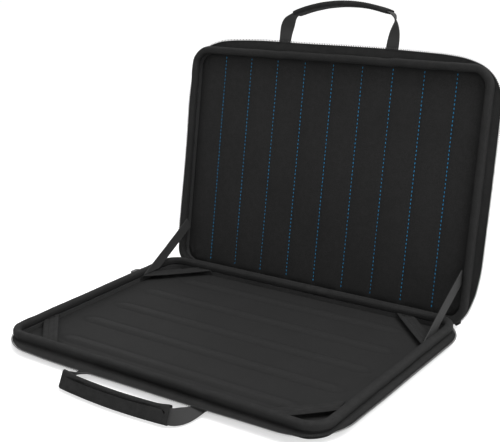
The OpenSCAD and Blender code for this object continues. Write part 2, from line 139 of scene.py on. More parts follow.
@dataclass(frozen=True)
class Track:
    """A rounded rectangle that rim pieces run along, in millimetres."""

    width: float
    depth: float
    radius: float

    @property
    def core_x(self) -> float:
        """Half the length of the front and rear straights."""
        return self.width / 2 - self.radius

    @property
    def core_y(self) -> float:
        """Half the length of the side straights."""
        return self.depth / 2 - self.radius

    @property
    def bend(self) -> float:
        """Length round one corner."""
        return self.radius * math.pi / 2

    @property
    def length(self) -> float:
        """Length once round."""
        return 4 * (self.core_x + self.core_y + self.bend)

    @property
    def runs(self) -> tuple[float, ...]:
        """Lengths of the four straights, anticlockwise from the right side."""
        return (2 * self.core_y, 2 * self.core_x) * 2

    def locate(self, x: float, y: float) -> tuple[float, float]:
        """Finds where a point lies beside the track.

        Args:
            x: Distance to the right of the middle.
            y: Distance behind the middle.

        Returns:
            The distance along the track, anticlockwise from the front end of the
            right side, and the distance outside it.
        """
        core = Vector((max(-self.core_x, min(self.core_x, x)), max(-self.core_y, min(self.core_y, y))))
        off = Vector((x, y)) - core
        angle = math.atan2(off.y, off.x) % (2 * math.pi)
        quarter = min(3, int((angle + 1e-7) // (math.pi / 2)))
        on_bend = angle - quarter * math.pi / 2
        start = sum(self.runs[:quarter]) + quarter * self.bend
        straight = (core.y + self.core_y, self.core_x - core.x, self.core_y - core.y, core.x + self.core_x)
        along = start + straight[quarter] + on_bend * self.radius
        return along, off.length - self.radius

    def at(self, along: float, out: float = 0.0) -> tuple[float, float, float]:
        """Finds a point beside the track.

        Args:
            along: Distance along the track.
            out: Distance outside it.

        Returns:
            The point's x and y, and the heading of the track there in radians.
        """
        rest = along % self.length
        corners = ((1, 1), (-1, 1), (-1, -1), (1, -1))
        for side, run in enumerate(self.runs):
            heading = math.pi / 2 * (side + 1)
            ahead = Vector((math.cos(heading), math.sin(heading)))
            outward = Vector((ahead.y, -ahead.x))
            corner = Vector((corners[side][0] * self.core_x, corners[side][1] * self.core_y))
            if rest <= run:
                spot = corner - ahead * (run - rest) + outward * (self.radius + out)
                return spot.x, spot.y, heading
            rest -= run
            if rest <= self.bend:
                turn = rest / self.radius
                spot = corner + (self.radius + out) * (outward * math.cos(turn) + ahead * math.sin(turn))
                return spot.x, spot.y, heading + turn
            rest -= self.bend
        return self.at(0.0, out)


RIM = Track(CASE.rim_w, CASE.rim_d, CASE.corner_r)


def ahead_of(heading: float) -> Vector:
    """Direction in which a track with that heading runs."""
    return Vector((math.cos(heading), math.sin(heading), 0))


def outside_of(heading: float) -> Vector:
    """Direction away from what a track with that heading runs round."""
    return Vector((math.sin(heading), -math.cos(heading), 0))


def limited(value: float) -> float:
    """Keeps a value between 0 and 1."""
    return max(0.0, min(1.0, value))


def find_leg(marks: Sequence[float], value: float) -> tuple[int, float]:
    """Finds between which marks a value lies.

    Args:
        marks: Rising values.
        value: The value.

    Returns:
        The index of the mark after it, and its share of the way from the mark before.
    """
    after = next((i for i in range(1, len(marks)) if value <= marks[i] + 1e-9), len(marks) - 1)
    return after, (value - marks[after - 1]) / (marks[after] - marks[after - 1])


def wobble(x: float, y: float, z: float, size: float, seed: float) -> float:
    """Smooth fixed unevenness.

    Args:
        x: First coordinate, in millimetres.
        y: Second coordinate.
        z: Third coordinate.
        size: Distance between neighbouring waves.
        seed: Number that picks one unevenness.

    Returns:
        A value from about -1 to 1.
    """
    return noise.noise(Vector((x / size + seed, y / size - seed, z / size + 2 * seed)))


def bump_at(x: float, middle: float, spread: float) -> float:
    """A soft bump of height 1.

    Args:
        x: Where to measure.
        middle: Where the bump is highest.
        spread: Distance at which it has mostly gone.

    Returns:
        The bump's height there.
    """
    return math.exp(-(((x - middle) / spread) ** 2))


def near_corner(spot: Vector, spread: float, inset: float = 0.0) -> float:
    """How near a point is to one of the rim's corners.

    Args:
        spot: The point.
        spread: Distance at which it is no longer near.
        inset: How far inside the rim's outline the corner is taken.

    Returns:
        A share, 1 at the corner.
    """
    aside = abs(spot.x) - CASE.rim_w / 2 + inset
    return bump_at(math.hypot(aside, abs(spot.y) - CASE.rim_d / 2 + inset), 0.0, spread)


def in_corner(x: float, y: float, inset: float, width: float) -> float:
    """Tells the rim's rounded corners from its straights.

    Args:
        x: Distance to the right of the middle.
        y: Distance behind the middle.
        inset: How far inside the rim's outline the corners begin.
        width: Distance over which they come in.

    Returns:
        A share, 0 along the straights and 1 in the corners.
    """
    aside, beyond = abs(x) - CASE.rim_w / 2 + inset, abs(y) - CASE.rim_d / 2 + inset
    return limited(aside / width) * limited(beyond / width)


# ---- finishes ----


class Surface(Enum):
    """How a finish is made up, thread by thread or grain by grain."""

    PLAIN_WEAVE = "plain weave"
    TWILL = "twill"
    RIBBED = "ribbed webbing"
    TWISTED = "twisted thread"
    GRAIN = "moulded grain"


class NodeDesk:
    """Lays out the shader nodes of a material or a world."""

    def __init__(self, owner: bpy.types.Material | bpy.types.World, shader: str = "Principled BSDF") -> None:
        """Starts with a bare shader.

        Args:
            owner: The new material or world.
            shader: Name of its shader node.
        """
        owner.use_nodes = True
        self.tree = owner.node_tree
        self.shader = self.tree.nodes[shader]

    def link(self, source: object, socket: bpy.types.NodeSocket) -> None:
        """Feeds a socket with another socket or a number.

        Args:
            source: An output socket or a plain number.
            socket: The input to feed.
        """
        if isinstance(source, bpy.types.NodeSocket):
            self.tree.links.new(source, socket)
        else:
            socket.default_value = source

    def math(self, operation: str, first: object, second: object = 0.0) -> bpy.types.NodeSocket:
        """Adds a math node.

        Args:
            operation: The node's operation.
            first: Its first value.
            second: Its second value.

        Returns:
            The result.
        """
        node = self.tree.nodes.new("ShaderNodeMath")
        node.operation = operation
        self.link(first, node.inputs[0])
        self.link(second, node.inputs[1])
        return node.outputs[0]

    def wave(self, turn: bpy.types.NodeSocket) -> bpy.types.NodeSocket:
        """Rises to 1 and falls to 0 once for every half turn."""
        return self.math("ABSOLUTE", self.math("SINE", turn))

    def coordinates(self, kind: str) -> bpy.types.NodeSocket:
        """Reads Object coordinates or the piece's own UV map, both in metres."""
        return self.tree.nodes.new("ShaderNodeTexCoord").outputs[kind]

    def noise(self, where: bpy.types.NodeSocket, size: float, detail: float) -> bpy.types.NodeSocket:
        """Adds a noise texture.

        Args:
            where: Coordinates in metres.
            size: Size of its patches in metres.
            detail: How many finer layers it has.

        Returns:
            A value round one half.
        """
        node = self.tree.nodes.new("ShaderNodeTexNoise")
        self.link(where, node.inputs["Vector"])
        node.inputs["Scale"].default_value = 1 / size
        node.inputs["Detail"].default_value = detail
        return node.outputs["Fac"]

    def ramp(self, value: bpy.types.NodeSocket, low: float, high: float) -> bpy.types.NodeSocket:
        """Stretches low..high to 0..1.

        Args:
            value: What to stretch.
            low: Becomes 0.
            high: Becomes 1.

        Returns:
            The stretched value.
        """
        node = self.tree.nodes.new("ShaderNodeMapRange")
        node.interpolation_type = "SMOOTHSTEP"
        self.link(value, node.inputs["Value"])
        node.inputs["From Min"].default_value = low
        node.inputs["From Max"].default_value = high
        return node.outputs["Result"]

    def mix(self, share: object, first: object, second: object) -> bpy.types.NodeSocket:
        """Mixes two colours.

        Args:
            share: How much of the second.
            first: The first colour.
            second: The second colour.

        Returns:
            The mixed colour.
        """
        node = self.tree.nodes.new("ShaderNodeMix")
        node.data_type = "RGBA"
        self.link(share, node.inputs["Factor"])
        self.link(first, node.inputs[6])
        self.link(second, node.inputs[7])
        return node.outputs[2]


def linear(shade: Shade, gain: float = 1.0) -> tuple[float, float, float, float]:
    """Turns a display colour into the shader's linear one.

    Args:
        shade: Red, green and blue, 0 to 255.
        gain: Factor on the linear values.

    Returns:
        Linear red, green, blue and alpha.
    """
    values = [c / 255 for c in shade]
    made = [c / 12.92 if c <= 0.04045 else ((c + 0.055) / 1.055) ** 2.4 for c in values]
    return (*(min(1.0, c * gain) for c in made), 1.0)


@dataclass(frozen=True)
class Finish:
    """A cloth, thread or moulded finish, with sizes in metres."""

    name: str
    shade: Shade
    surface: Surface
    pitch: float
    roughness: float = 0.85
    specular: float = 0.12
    relief: float = 0.4
    contrast: float = 0.22
    # Gain of the lighter tone that rubbing and painted highlight mix in.
    worn_and_lit: float = 1.5
    scuffed: float = 1.0
    grain: float = 1.3
    on_uv: bool = True

    def threads(self, desk: NodeDesk) -> bpy.types.NodeSocket:
        """Height of the threads or grain, 0 in the gaps and 1 on top.

        Args:
            desk: The material being laid out.

        Returns:
            The height.
        """
        where = desk.coordinates("UV" if self.on_uv else "Object")
        if self.surface is Surface.GRAIN:
            return desk.ramp(desk.noise(where, self.pitch, 2.0), 0.3, 0.7)
        split = desk.tree.nodes.new("ShaderNodeSeparateXYZ")
        desk.link(where, split.inputs[0])
        u = desk.math("MULTIPLY", split.outputs[0], math.pi / self.pitch)
        v = desk.math("MULTIPLY", split.outputs[1], math.pi / self.pitch)
        if self.surface is Surface.PLAIN_WEAVE:
            crossing = desk.math("MULTIPLY", desk.math("SINE", u), desk.math("SINE", v))
            return desk.math("POWER", desk.math("ABSOLUTE", crossing), 0.6)
        if self.surface is Surface.TWILL:
            slant = desk.wave(desk.math("ADD", u, v))
            fine = desk.wave(desk.math("MULTIPLY", v, 2.0))
            return desk.math("MULTIPLY", slant, desk.math("ADD", 0.7, desk.math("MULTIPLY", fine, 0.3)))
        if self.surface is Surface.TWISTED:
            return desk.wave(desk.math("ADD", u, v))
        ribs = desk.wave(u)
        yarns = desk.wave(desk.math("MULTIPLY", v, 0.5))
        return desk.math("ADD", desk.math("MULTIPLY", ribs, 0.65), desk.math("MULTIPLY", yarns, 0.35))

    def material(self) -> bpy.types.Material:
        """Makes the finish, or finds it if it was made before."""
        found = bpy.data.materials.get(self.name)
        if found:
            return found
        material = bpy.data.materials.new(self.name)
        desk = NodeDesk(material)
        space = desk.coordinates("Object")
        height = self.threads(desk)
        patches = desk.noise(space, 0.045, 3.0)
        fuzz = desk.noise(space, 0.0011, 2.0)
        # The tone follows the thread height: tops painted lighter and gaps painted darker, painted shade at
        # the scale of the weave; on moulded grain it is grain tone.
        tone = desk.mix(height, linear(self.shade, 1 - self.contrast), linear(self.shade, 1 + self.contrast))
        tone = desk.mix(desk.ramp(fuzz, 0.35, 0.75), tone, linear(self.shade, self.grain))
        cloudy = desk.math("MULTIPLY", desk.ramp(patches, 0.35, 0.7), 0.3)
        tone = desk.mix(cloudy, tone, linear(self.shade, 0.78))
        # The per-vertex share read here lightens the tone: rubbing on most pieces, a painted highlight on the
        # binding's crest and on the base panel's ribs, and painted shade round the rib feet where the share
        # drops.
        wear_and_painted_light = desk.tree.nodes.new("ShaderNodeAttribute")
        wear_and_painted_light.attribute_name = "wear_and_painted_light"
        scuffs = desk.ramp(desk.noise(space, 0.006, 4.0), 0.38, 0.68)
        scuffs = desk.math("ADD", desk.math("MULTIPLY", scuffs, self.scuffed), 1 - self.scuffed)
        rubbed_and_lit = desk.math("MULTIPLY", wear_and_painted_light.outputs["Fac"], scuffs)
        tone = desk.mix(rubbed_and_lit, tone, linear(self.shade, self.worn_and_lit))
        desk.link(tone, desk.shader.inputs["Base Color"])
        rough = desk.math("SUBTRACT", self.roughness + 0.05, desk.math("MULTIPLY", rubbed_and_lit, 0.15))
        rough = desk.math("SUBTRACT", rough, desk.math("MULTIPLY", height, 0.08))
        desk.link(rough, desk.shader.inputs["Roughness"])
        desk.shader.inputs["Specular IOR Level"].default_value = self.specular
        relief = desk.tree.nodes.new("ShaderNodeBump")
        relief.inputs["Strength"].default_value = self.relief
        relief.inputs["Distance"].default_value = self.pitch * 0.5
        lumpy = desk.math("ADD", height, desk.math("MULTIPLY", fuzz, 0.8))
        desk.link(lumpy, relief.inputs["Height"])
        desk.link(relief.outputs["Normal"], desk.shader.inputs["Normal"])
        return material


SHELL_CLOTH = Finish("shell_cloth", (36, 36, 36), Surface.PLAIN_WEAVE, 0.0007, relief=0.5)
BINDING_CLOTH = Finish("binding_cloth", (38, 38, 38), Surface.TWILL, 0.0006, roughness=0.78)
# Lighter than the other cloths, as painted light for the light from the right that falls on the walls' inner
# faces.
LINING_CLOTH = Finish("lining_cloth", (54, 54, 54), Surface.PLAIN_WEAVE, 0.0005)
# Its lighter tone is the painted highlight on the ribs' tops; the noise that breaks it up is kept low.
BASE_PANEL_CLOTH = Finish(
    "base_panel_cloth", (34, 34, 34), Surface.PLAIN_WEAVE, 0.0005, roughness=0.8, worn_and_lit=1.42, scuffed=0.15,
    grain=1.5,
)
LID_PANEL_CLOTH = Finish("lid_panel_cloth", (39, 39, 39), Surface.PLAIN_WEAVE, 0.0005, grain=1.4)
TAPE_CLOTH = Finish("zip_tape_cloth", (44, 44, 44), Surface.TWILL, 0.0008, relief=0.6)
WEBBING = Finish("webbing", (29, 29, 29), Surface.RIBBED, 0.0012, relief=0.8)
ELASTIC = Finish("corner_elastic", (40, 40, 40), Surface.RIBBED, 0.0009, relief=0.7)
HANDLE_CLOTH = Finish("handle_cloth", (39, 39, 39), Surface.PLAIN_WEAVE, 0.0008)
BLUE_THREAD = Finish(
    "blue_thread", (30, 134, 188), Surface.TWISTED, 0.0008, roughness=0.6, contrast=0.3, worn_and_lit=1.1,
)
DARK_THREAD = Finish("dark_thread", (36, 36, 36), Surface.TWISTED, 0.0008, roughness=0.65, worn_and_lit=1.1)
COIL_NYLON = Finish(
    "coil_nylon", (40, 40, 40), Surface.GRAIN, 0.0006, roughness=0.42, specular=0.5, relief=0.15,
)
FOAM = Finish("foam", (52, 52, 54), Surface.GRAIN, 0.0009, roughness=0.95, relief=0.7, on_uv=False)
SLIDER_PAINT = Finish(
    "slider_paint", (30, 30, 32), Surface.GRAIN, 0.0005, roughness=0.35, specular=0.5, relief=0.08,
    on_uv=False,
)


# ---- making pieces ----


@dataclass
class Piece:
    """One piece of the object while it is being made."""

    name: str
    finish: Finish
    slot: str
    body: str
    replaces: tuple[str, ...] = ()
    place: Matrix = field(default_factory=lambda: Matrix.Scale(MM, 4))
    wear_and_painted_light: Callable[[Vector], float] | None = None
    rides: bool = True

    def make(self, bm: BMesh) -> bpy.types.Object:
        """Turns a mesh in millimetres into the piece, in its place.

        Args:
            bm: The mesh; it is freed.

        Returns:
            The piece, riding on its body unless it is set not to ride.
        """
        # Per-vertex share that lightens the cloth: rubbing, and on some pieces painted highlight and painted
        # shade.
        worn_and_lit = bm.verts.layers.float.new("wear_and_painted_light")
        if self.wear_and_painted_light:
            for vert in bm.verts:
                vert[worn_and_lit] = limited(self.wear_and_painted_light(vert.co))
        bmesh.ops.transform(bm, matrix=self.place, verts=bm.verts)
        if self.place.determinant() < 0:
            bmesh.ops.reverse_faces(bm, faces=bm.faces)
        bm.normal_update()
        for face in bm.faces:
            face.smooth = True
        for edge in bm.edges:
            edge.smooth = edge.is_manifold and edge.calc_face_angle(0.0) < SHARP_ANGLE
        mesh = bpy.data.meshes.new(self.name)
        bm.to_mesh(mesh)
        bm.free()
        mesh.materials.append(self.finish.material())
        piece = bpy.data.objects.new(self.name, mesh)
        bpy.context.scene.collection.objects.link(piece)
        if self.replaces:
            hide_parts(*self.replaces)
        if self.rides:
            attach(piece, self.body)
        LOG.info("%s: %d faces", self.name, len(mesh.polygons))
        return piece


def half_piece(
    half: Half, part: str, finish: Finish, slot: str = "", node: str = "",
    wear_and_painted_light: Callable[[Vector], float] | None = None,
) -> Piece:
    """Starts a piece that each half has.

    Args:
        half: The half.
        part: The piece's name, after the half's.
        finish: Its finish.
        slot: Name of its material slot; the piece keeps it but nothing uses it.
        node: The node it replaces, after the half's name.
        wear_and_painted_light: Its share of rubbing at a point, and of painted highlight and shade on the
            pieces that carry them.

    Returns:
        The piece, ready for its mesh.
    """
    name = half.value
    replaces = (f"{name}_{node}",) if node else ()
    return Piece(f"{name}_{part}", finish, slot, name, replaces, half.place, wear_and_painted_light)


def cross_hinge(piece: bpy.types.Object) -> None:
    """Bakes a piece that runs between the base and the lid into its place in the frame.

    Args:
        piece: The piece.
    """
    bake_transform(piece)


def new_ring(bm: BMesh, edges: Iterable[BMEdge]) -> list[BMEdge]:
    """Extrudes a row of edges without moving the new one.

    Args:
        bm: The mesh.
        edges: The row.

    Returns:
        The new row.
    """
    made = bmesh.ops.extrude_edge_only(bm, edges=list(edges))["geom"]
    fresh = {item for item in made if isinstance(item, BMVert)}
    return [item for item in made if isinstance(item, BMEdge) and set(item.verts) <= fresh]


def row_verts(edges: Iterable[BMEdge]) -> list[BMVert]:
    """The vertices of a row of edges, each once."""
    return list({vert: None for edge in edges for vert in edge.verts})


def draw_row(bm: BMesh, points: Sequence[Point], closed: bool) -> list[BMEdge]:
    """Draws a row of edges through points.

    Args:
        bm: The mesh.
        points: The row's points.
        closed: Whether its last point joins its first.

    Returns:
        The row's edges.
    """
    verts = [bm.verts.new(point) for point in points]
    pairs = list(zip(verts, verts[1:] + verts[:1] if closed else verts[1:]))
    return [bm.edges.new(pair) for pair in pairs]


def lay_uv(bm: BMesh, measure: Callable[[Vector], tuple[float, float]], turns: tuple[float, float]) -> None:
    """Writes a UV map in metres.

    Args:
        bm: The mesh.
        measure: Gives a point's two distances in millimetres.
        turns: Distance after which each one starts again, or 0.
    """
    layer = bm.loops.layers.uv.verify()
    known = {vert: measure(vert.co) for vert in bm.verts}
    for face in bm.faces:
        first = known[face.loops[0].vert]
        for loop in face.loops:
            pair = list(known[loop.vert])
            for axis, turn in enumerate(turns):
                if turn and abs(pair[axis] - first[axis]) > turn / 2:
                    pair[axis] += turn if pair[axis] < first[axis] else -turn
            loop[layer].uv = (pair[0] * MM, pair[1] * MM)


def sweep_rim(profile: Profile, closed: bool, step: float = 5.0, bends: int = 16) -> BMesh:
    """Sweeps a profile once round the rim.

    Args:
        profile: Points outside and above the rim's centreline on the floor.
        closed: Whether the profile is a closed loop.
        step: Length of the pieces along the straights.
        bends: Number of pieces round each corner.

    Returns:
        The swept mesh, with its UV map.
    """
    bm = bmesh.new()
    x, y = RIM.core_x, RIM.core_y
    row = draw_row(bm, [(CASE.rim_w / 2 + out, -y, z) for out, z in profile], closed)
    legs = ((y, (0, 1), (x, y)), (x, (-1, 0), (-x, y)), (y, (0, -1), (-x, -y)), (x, (1, 0), (x, -y)))
    for half, ahead, corner in legs:
        count = round(2 * half / step)
        for _ in range(count):
            row = new_ring(bm, row)
            shift = Vector((*ahead, 0)) * (2 * half / count)
            bmesh.ops.translate(bm, vec=shift, verts=row_verts(row))
        last = bmesh.ops.spin(
            bm, geom=[*row_verts(row), *row], cent=(*corner, 0), axis=(0, 0, 1),
            angle=math.pi / 2, steps=bends, use_duplicate=False,
        )["geom_last"]
        row = [item for item in last if isinstance(item, BMEdge)]
    bmesh.ops.remove_doubles(bm, verts=bm.verts, dist=0.01)
    bmesh.ops.recalc_face_normals(bm, faces=bm.faces)
    lengths = [0.0]
    for (x0, z0), (x1, z1) in zip(profile, profile[1:]):
        lengths.append(lengths[-1] + math.hypot(x1 - x0, z1 - z0))
    whole = lengths[-1] + math.dist(profile[-1], profile[0])

    def measure(co: Vector) -> tuple[float, float]:
        """Distance along the rim and round the profile.

        Args:
            co: A point of the mesh.

        Returns:
            The two distances.
        """
        along, out = RIM.locate(co.x, co.y)
        nearest = min(range(len(profile)), key=lambda i: math.dist(profile[i], (out, co.z)))
        return along, lengths[nearest]

    lay_uv(bm, measure, (RIM.length, whole if closed else 0.0))
    return bm


def cloth_grid(
    across: int, down: int, spot: Callable[[float, float], Vector], size: tuple[float, float],
) -> BMesh:
    """Lays a grid of cloth over a surface.

    Args:
        across: Number of cells one way.
        down: Number of cells the other way.
        spot: Gives the place of a pair of shares, 0 to 1 each.
        size: Real size of the cloth the two ways, for its weave.

    Returns:
        The mesh, with its UV map.
    """
    bm = bmesh.new()
    bmesh.ops.create_grid(bm, x_segments=across, y_segments=down, size=0.5)
    lay_uv(bm, lambda co: ((co.x + 0.5) * size[0], (co.y + 0.5) * size[1]), (0.0, 0.0))
    for vert in bm.verts:
        vert.co = spot(limited(vert.co.x + 0.5), limited(vert.co.y + 0.5))
    return bm


def face_towards(bm: BMesh, up: Vector) -> None:
    """Turns an open sheet's faces one way.

    Args:
        bm: The mesh.
        up: The way most of them face afterwards.
    """
    bmesh.ops.recalc_face_normals(bm, faces=bm.faces)
    if sum(face.normal.dot(up) for face in bm.faces) < 0:
        bmesh.ops.reverse_faces(bm, faces=bm.faces)


def thicken(bm: BMesh, thickness: float) -> None:
    """Gives an open sheet its thickness, behind its faces.

    Args:
        bm: The mesh.
        thickness: The thickness in millimetres.
    """
    bmesh.ops.solidify(bm, geom=bm.faces[:], thickness=thickness)
    bmesh.ops.recalc_face_normals(bm, faces=bm.faces)


def cloth_sheet(
    across: int, down: int, spot: Callable[[float, float], Vector], size: tuple[float, float],
    thickness: float,
) -> BMesh:
    """Lays cloth of some thickness under a surface that faces up.

    Args:
        across: Number of cells one way.
        down: Number of cells the other way.
        spot: Gives the place of a pair of shares, 0 to 1 each.
        size: Real size of the cloth the two ways.
        thickness: Its thickness.

    Returns:
        The closed mesh, with its UV map.
    """
    bm = cloth_grid(across, down, spot, size)
    face_towards(bm, UP)
    thicken(bm, thickness)
    return bm


@dataclass(frozen=True)
class Stitch:
    """One stitch of thread, in millimetres."""

    length: float
    width: float
    height: float
    around: int = 8
    rings: int = 4


TACK_STITCH = Stitch(1.8, 0.42, 0.4, around=6, rings=3)


def sew(stitch: Stitch, places: Iterable[Matrix]) -> BMesh:
    """Repeats a stitch.

    Args:
        stitch: The stitch, which runs along its own X.
        places: Where each one goes.

    Returns:
        The mesh of all of them.
    """
    one = bmesh.new()
    shape = Matrix.Diagonal((stitch.length / 2, stitch.width / 2, stitch.height / 2, 1))
    bmesh.ops.create_uvsphere(
        one, u_segments=stitch.around, v_segments=stitch.rings, radius=1,
        matrix=shape @ Matrix.Rotation(math.pi / 2, 4, "Y"),
    )
    lay_uv(one, lambda co: (co.x, 2 * co.y), (0.0, 0.0))
    pattern = bpy.data.meshes.new("stitch_pattern")
    one.to_mesh(pattern)
    one.free()
    bm = bmesh.new()
    for place in places:
        copy = pattern.copy()
        copy.transform(place)
        bm.from_mesh(copy)
        bpy.data.meshes.remove(copy)
    bpy.data.meshes.remove(pattern)
    return bm


def facing(spot: Vector, ahead: Vector, up: Vector) -> Matrix:
    """Matrix at a spot whose X runs ahead and whose Z points up.

    Args:
        spot: The place.
        ahead: Direction of X.
        up: Rough direction of Z.

    Returns:
        The matrix.
    """
    x = ahead.normalized()
    y = up.cross(x).normalized()
    z = x.cross(y)
    return Matrix.Translation(spot) @ Matrix((x, y, z)).transposed().to_4x4()


def straight_seam(start: Vector, end: Vector, up: Vector, pitch: float) -> list[Matrix]:
    """Places of the stitches along a straight seam.

    Args:
        start: Where it starts.
        end: Where it ends.
        up: Direction away from the cloth.
        pitch: Distance between stitches.

    Returns:
        One matrix per stitch.
    """
    run = end - start
    count = max(1, round(run.length / pitch))
    return [facing(start + run * ((i + 0.5) / count), run, up) for i in range(count)]


def bar_tack(middle: Vector, along: Vector, up: Vector, length: float, width: float) -> list[Matrix]:
    """Places of the close zigzag that fastens a webbing's end.

    Args:
        middle: Middle of the tack.
        along: Direction of its long side.
        up: Direction away from the cloth.
        length: Its length.
        width: Its width.

    Returns:
        One matrix per stitch.
    """
    pace = 0.55
    count = max(4, round(length / pace))
    side = up.cross(along).normalized()
    ahead = along.normalized()
    places = []
    for i in range(count):
        spot = middle + ahead * ((i + 0.5) / count - 0.5) * length
        lean = side * width + ahead * (pace if i % 2 else -pace)
        places.append(facing(spot, lean, up))
    return places


# ---- the moulded halves ----


@dataclass
class MouldedShell:
    """Shell of one half: thin moulded foam under cloth, with rounded edges."""

    half: Half
    thickness: float = 2.4
    edge_r: float = 8.0
    edge_x: float = -6.0
    corner_ease: float = 2.0
    ease_top: float = 11.0
    steps: int = 10

    def is_outside(self, co: Vector) -> bool:
        """Tells the shell's outer skin from its inner one.

        Args:
            co: A point of the shell.

        Returns:
            Whether it is on the outer skin.
        """
        out = RIM.locate(co.x, co.y)[1]
        if co.z >= self.edge_r:
            return out > self.edge_x + self.edge_r - self.thickness / 2
        return math.hypot(out - self.edge_x, co.z - self.edge_r) > self.edge_r - self.thickness / 2

    def profile(self) -> list[tuple[float, float]]:
        """Section from the outer face, up the wall and back down inside."""
        outer, inner = [], []
        for i in range(self.steps + 1):
            angle = math.pi / 2 * i / self.steps
            for side, r in ((outer, self.edge_r), (inner, self.edge_r - self.thickness)):
                side.append((self.edge_x + r * math.sin(angle), self.edge_r - r * math.cos(angle)))
        top_out, top_in = outer[-1][0], inner[-1][0]
        rim = [(top_out, CASE.seam_z - 0.5), (top_out - 0.4, CASE.seam_z - 0.1), (top_in, CASE.seam_z - 0.1)]
        return outer + rim + inner[::-1]

    def wear_and_painted_light(self, co: Vector) -> float:
        """Rubbed along the rounded edge, most at the corners."""
        edge = bump_at(RIM.locate(co.x, co.y)[1], 0.5, 2.5) * bump_at(co.z, 3.0, 3.5)
        return edge * (0.35 + 0.65 * near_corner(co, 30.0)) + 0.1 * (co.z < 0.05)

    def build(self) -> None:
        """Makes the shell."""
        bm = sweep_rim(self.profile(), closed=False)
        layer = bm.loops.layers.uv.verify()
        for level in (0.0, self.thickness):
            rim = [e for e in bm.edges if e.is_boundary and abs(e.verts[0].co.z - level) < 0.01]
            face = bmesh.ops.edgeloop_fill(bm, edges=rim)["faces"][0]
            for loop in face.loops:
                loop[layer].uv = (loop.vert.co.x * MM, loop.vert.co.y * MM)
        for vert in bm.verts:
            co = vert.co
            corner = near_corner(co, 12.0, inset=2.0)
            wall = RIM.locate(co.x, co.y)[1] > self.edge_x + self.edge_r * 0.1 and co.z < self.ease_top
            if wall and self.is_outside(co):
                inward = Vector((-math.copysign(1, co.x), -math.copysign(1, co.y), 0)) / math.sqrt(2)
                vert.co += inward * self.corner_ease * corner * min(1.0, (self.ease_top - co.z) / 3)
        bmesh.ops.recalc_face_normals(bm, faces=bm.faces)
        half_piece(self.half, "shell_cover", SHELL_CLOTH, "shell_fabric", "shell", self.wear_and_painted_light).make(bm)


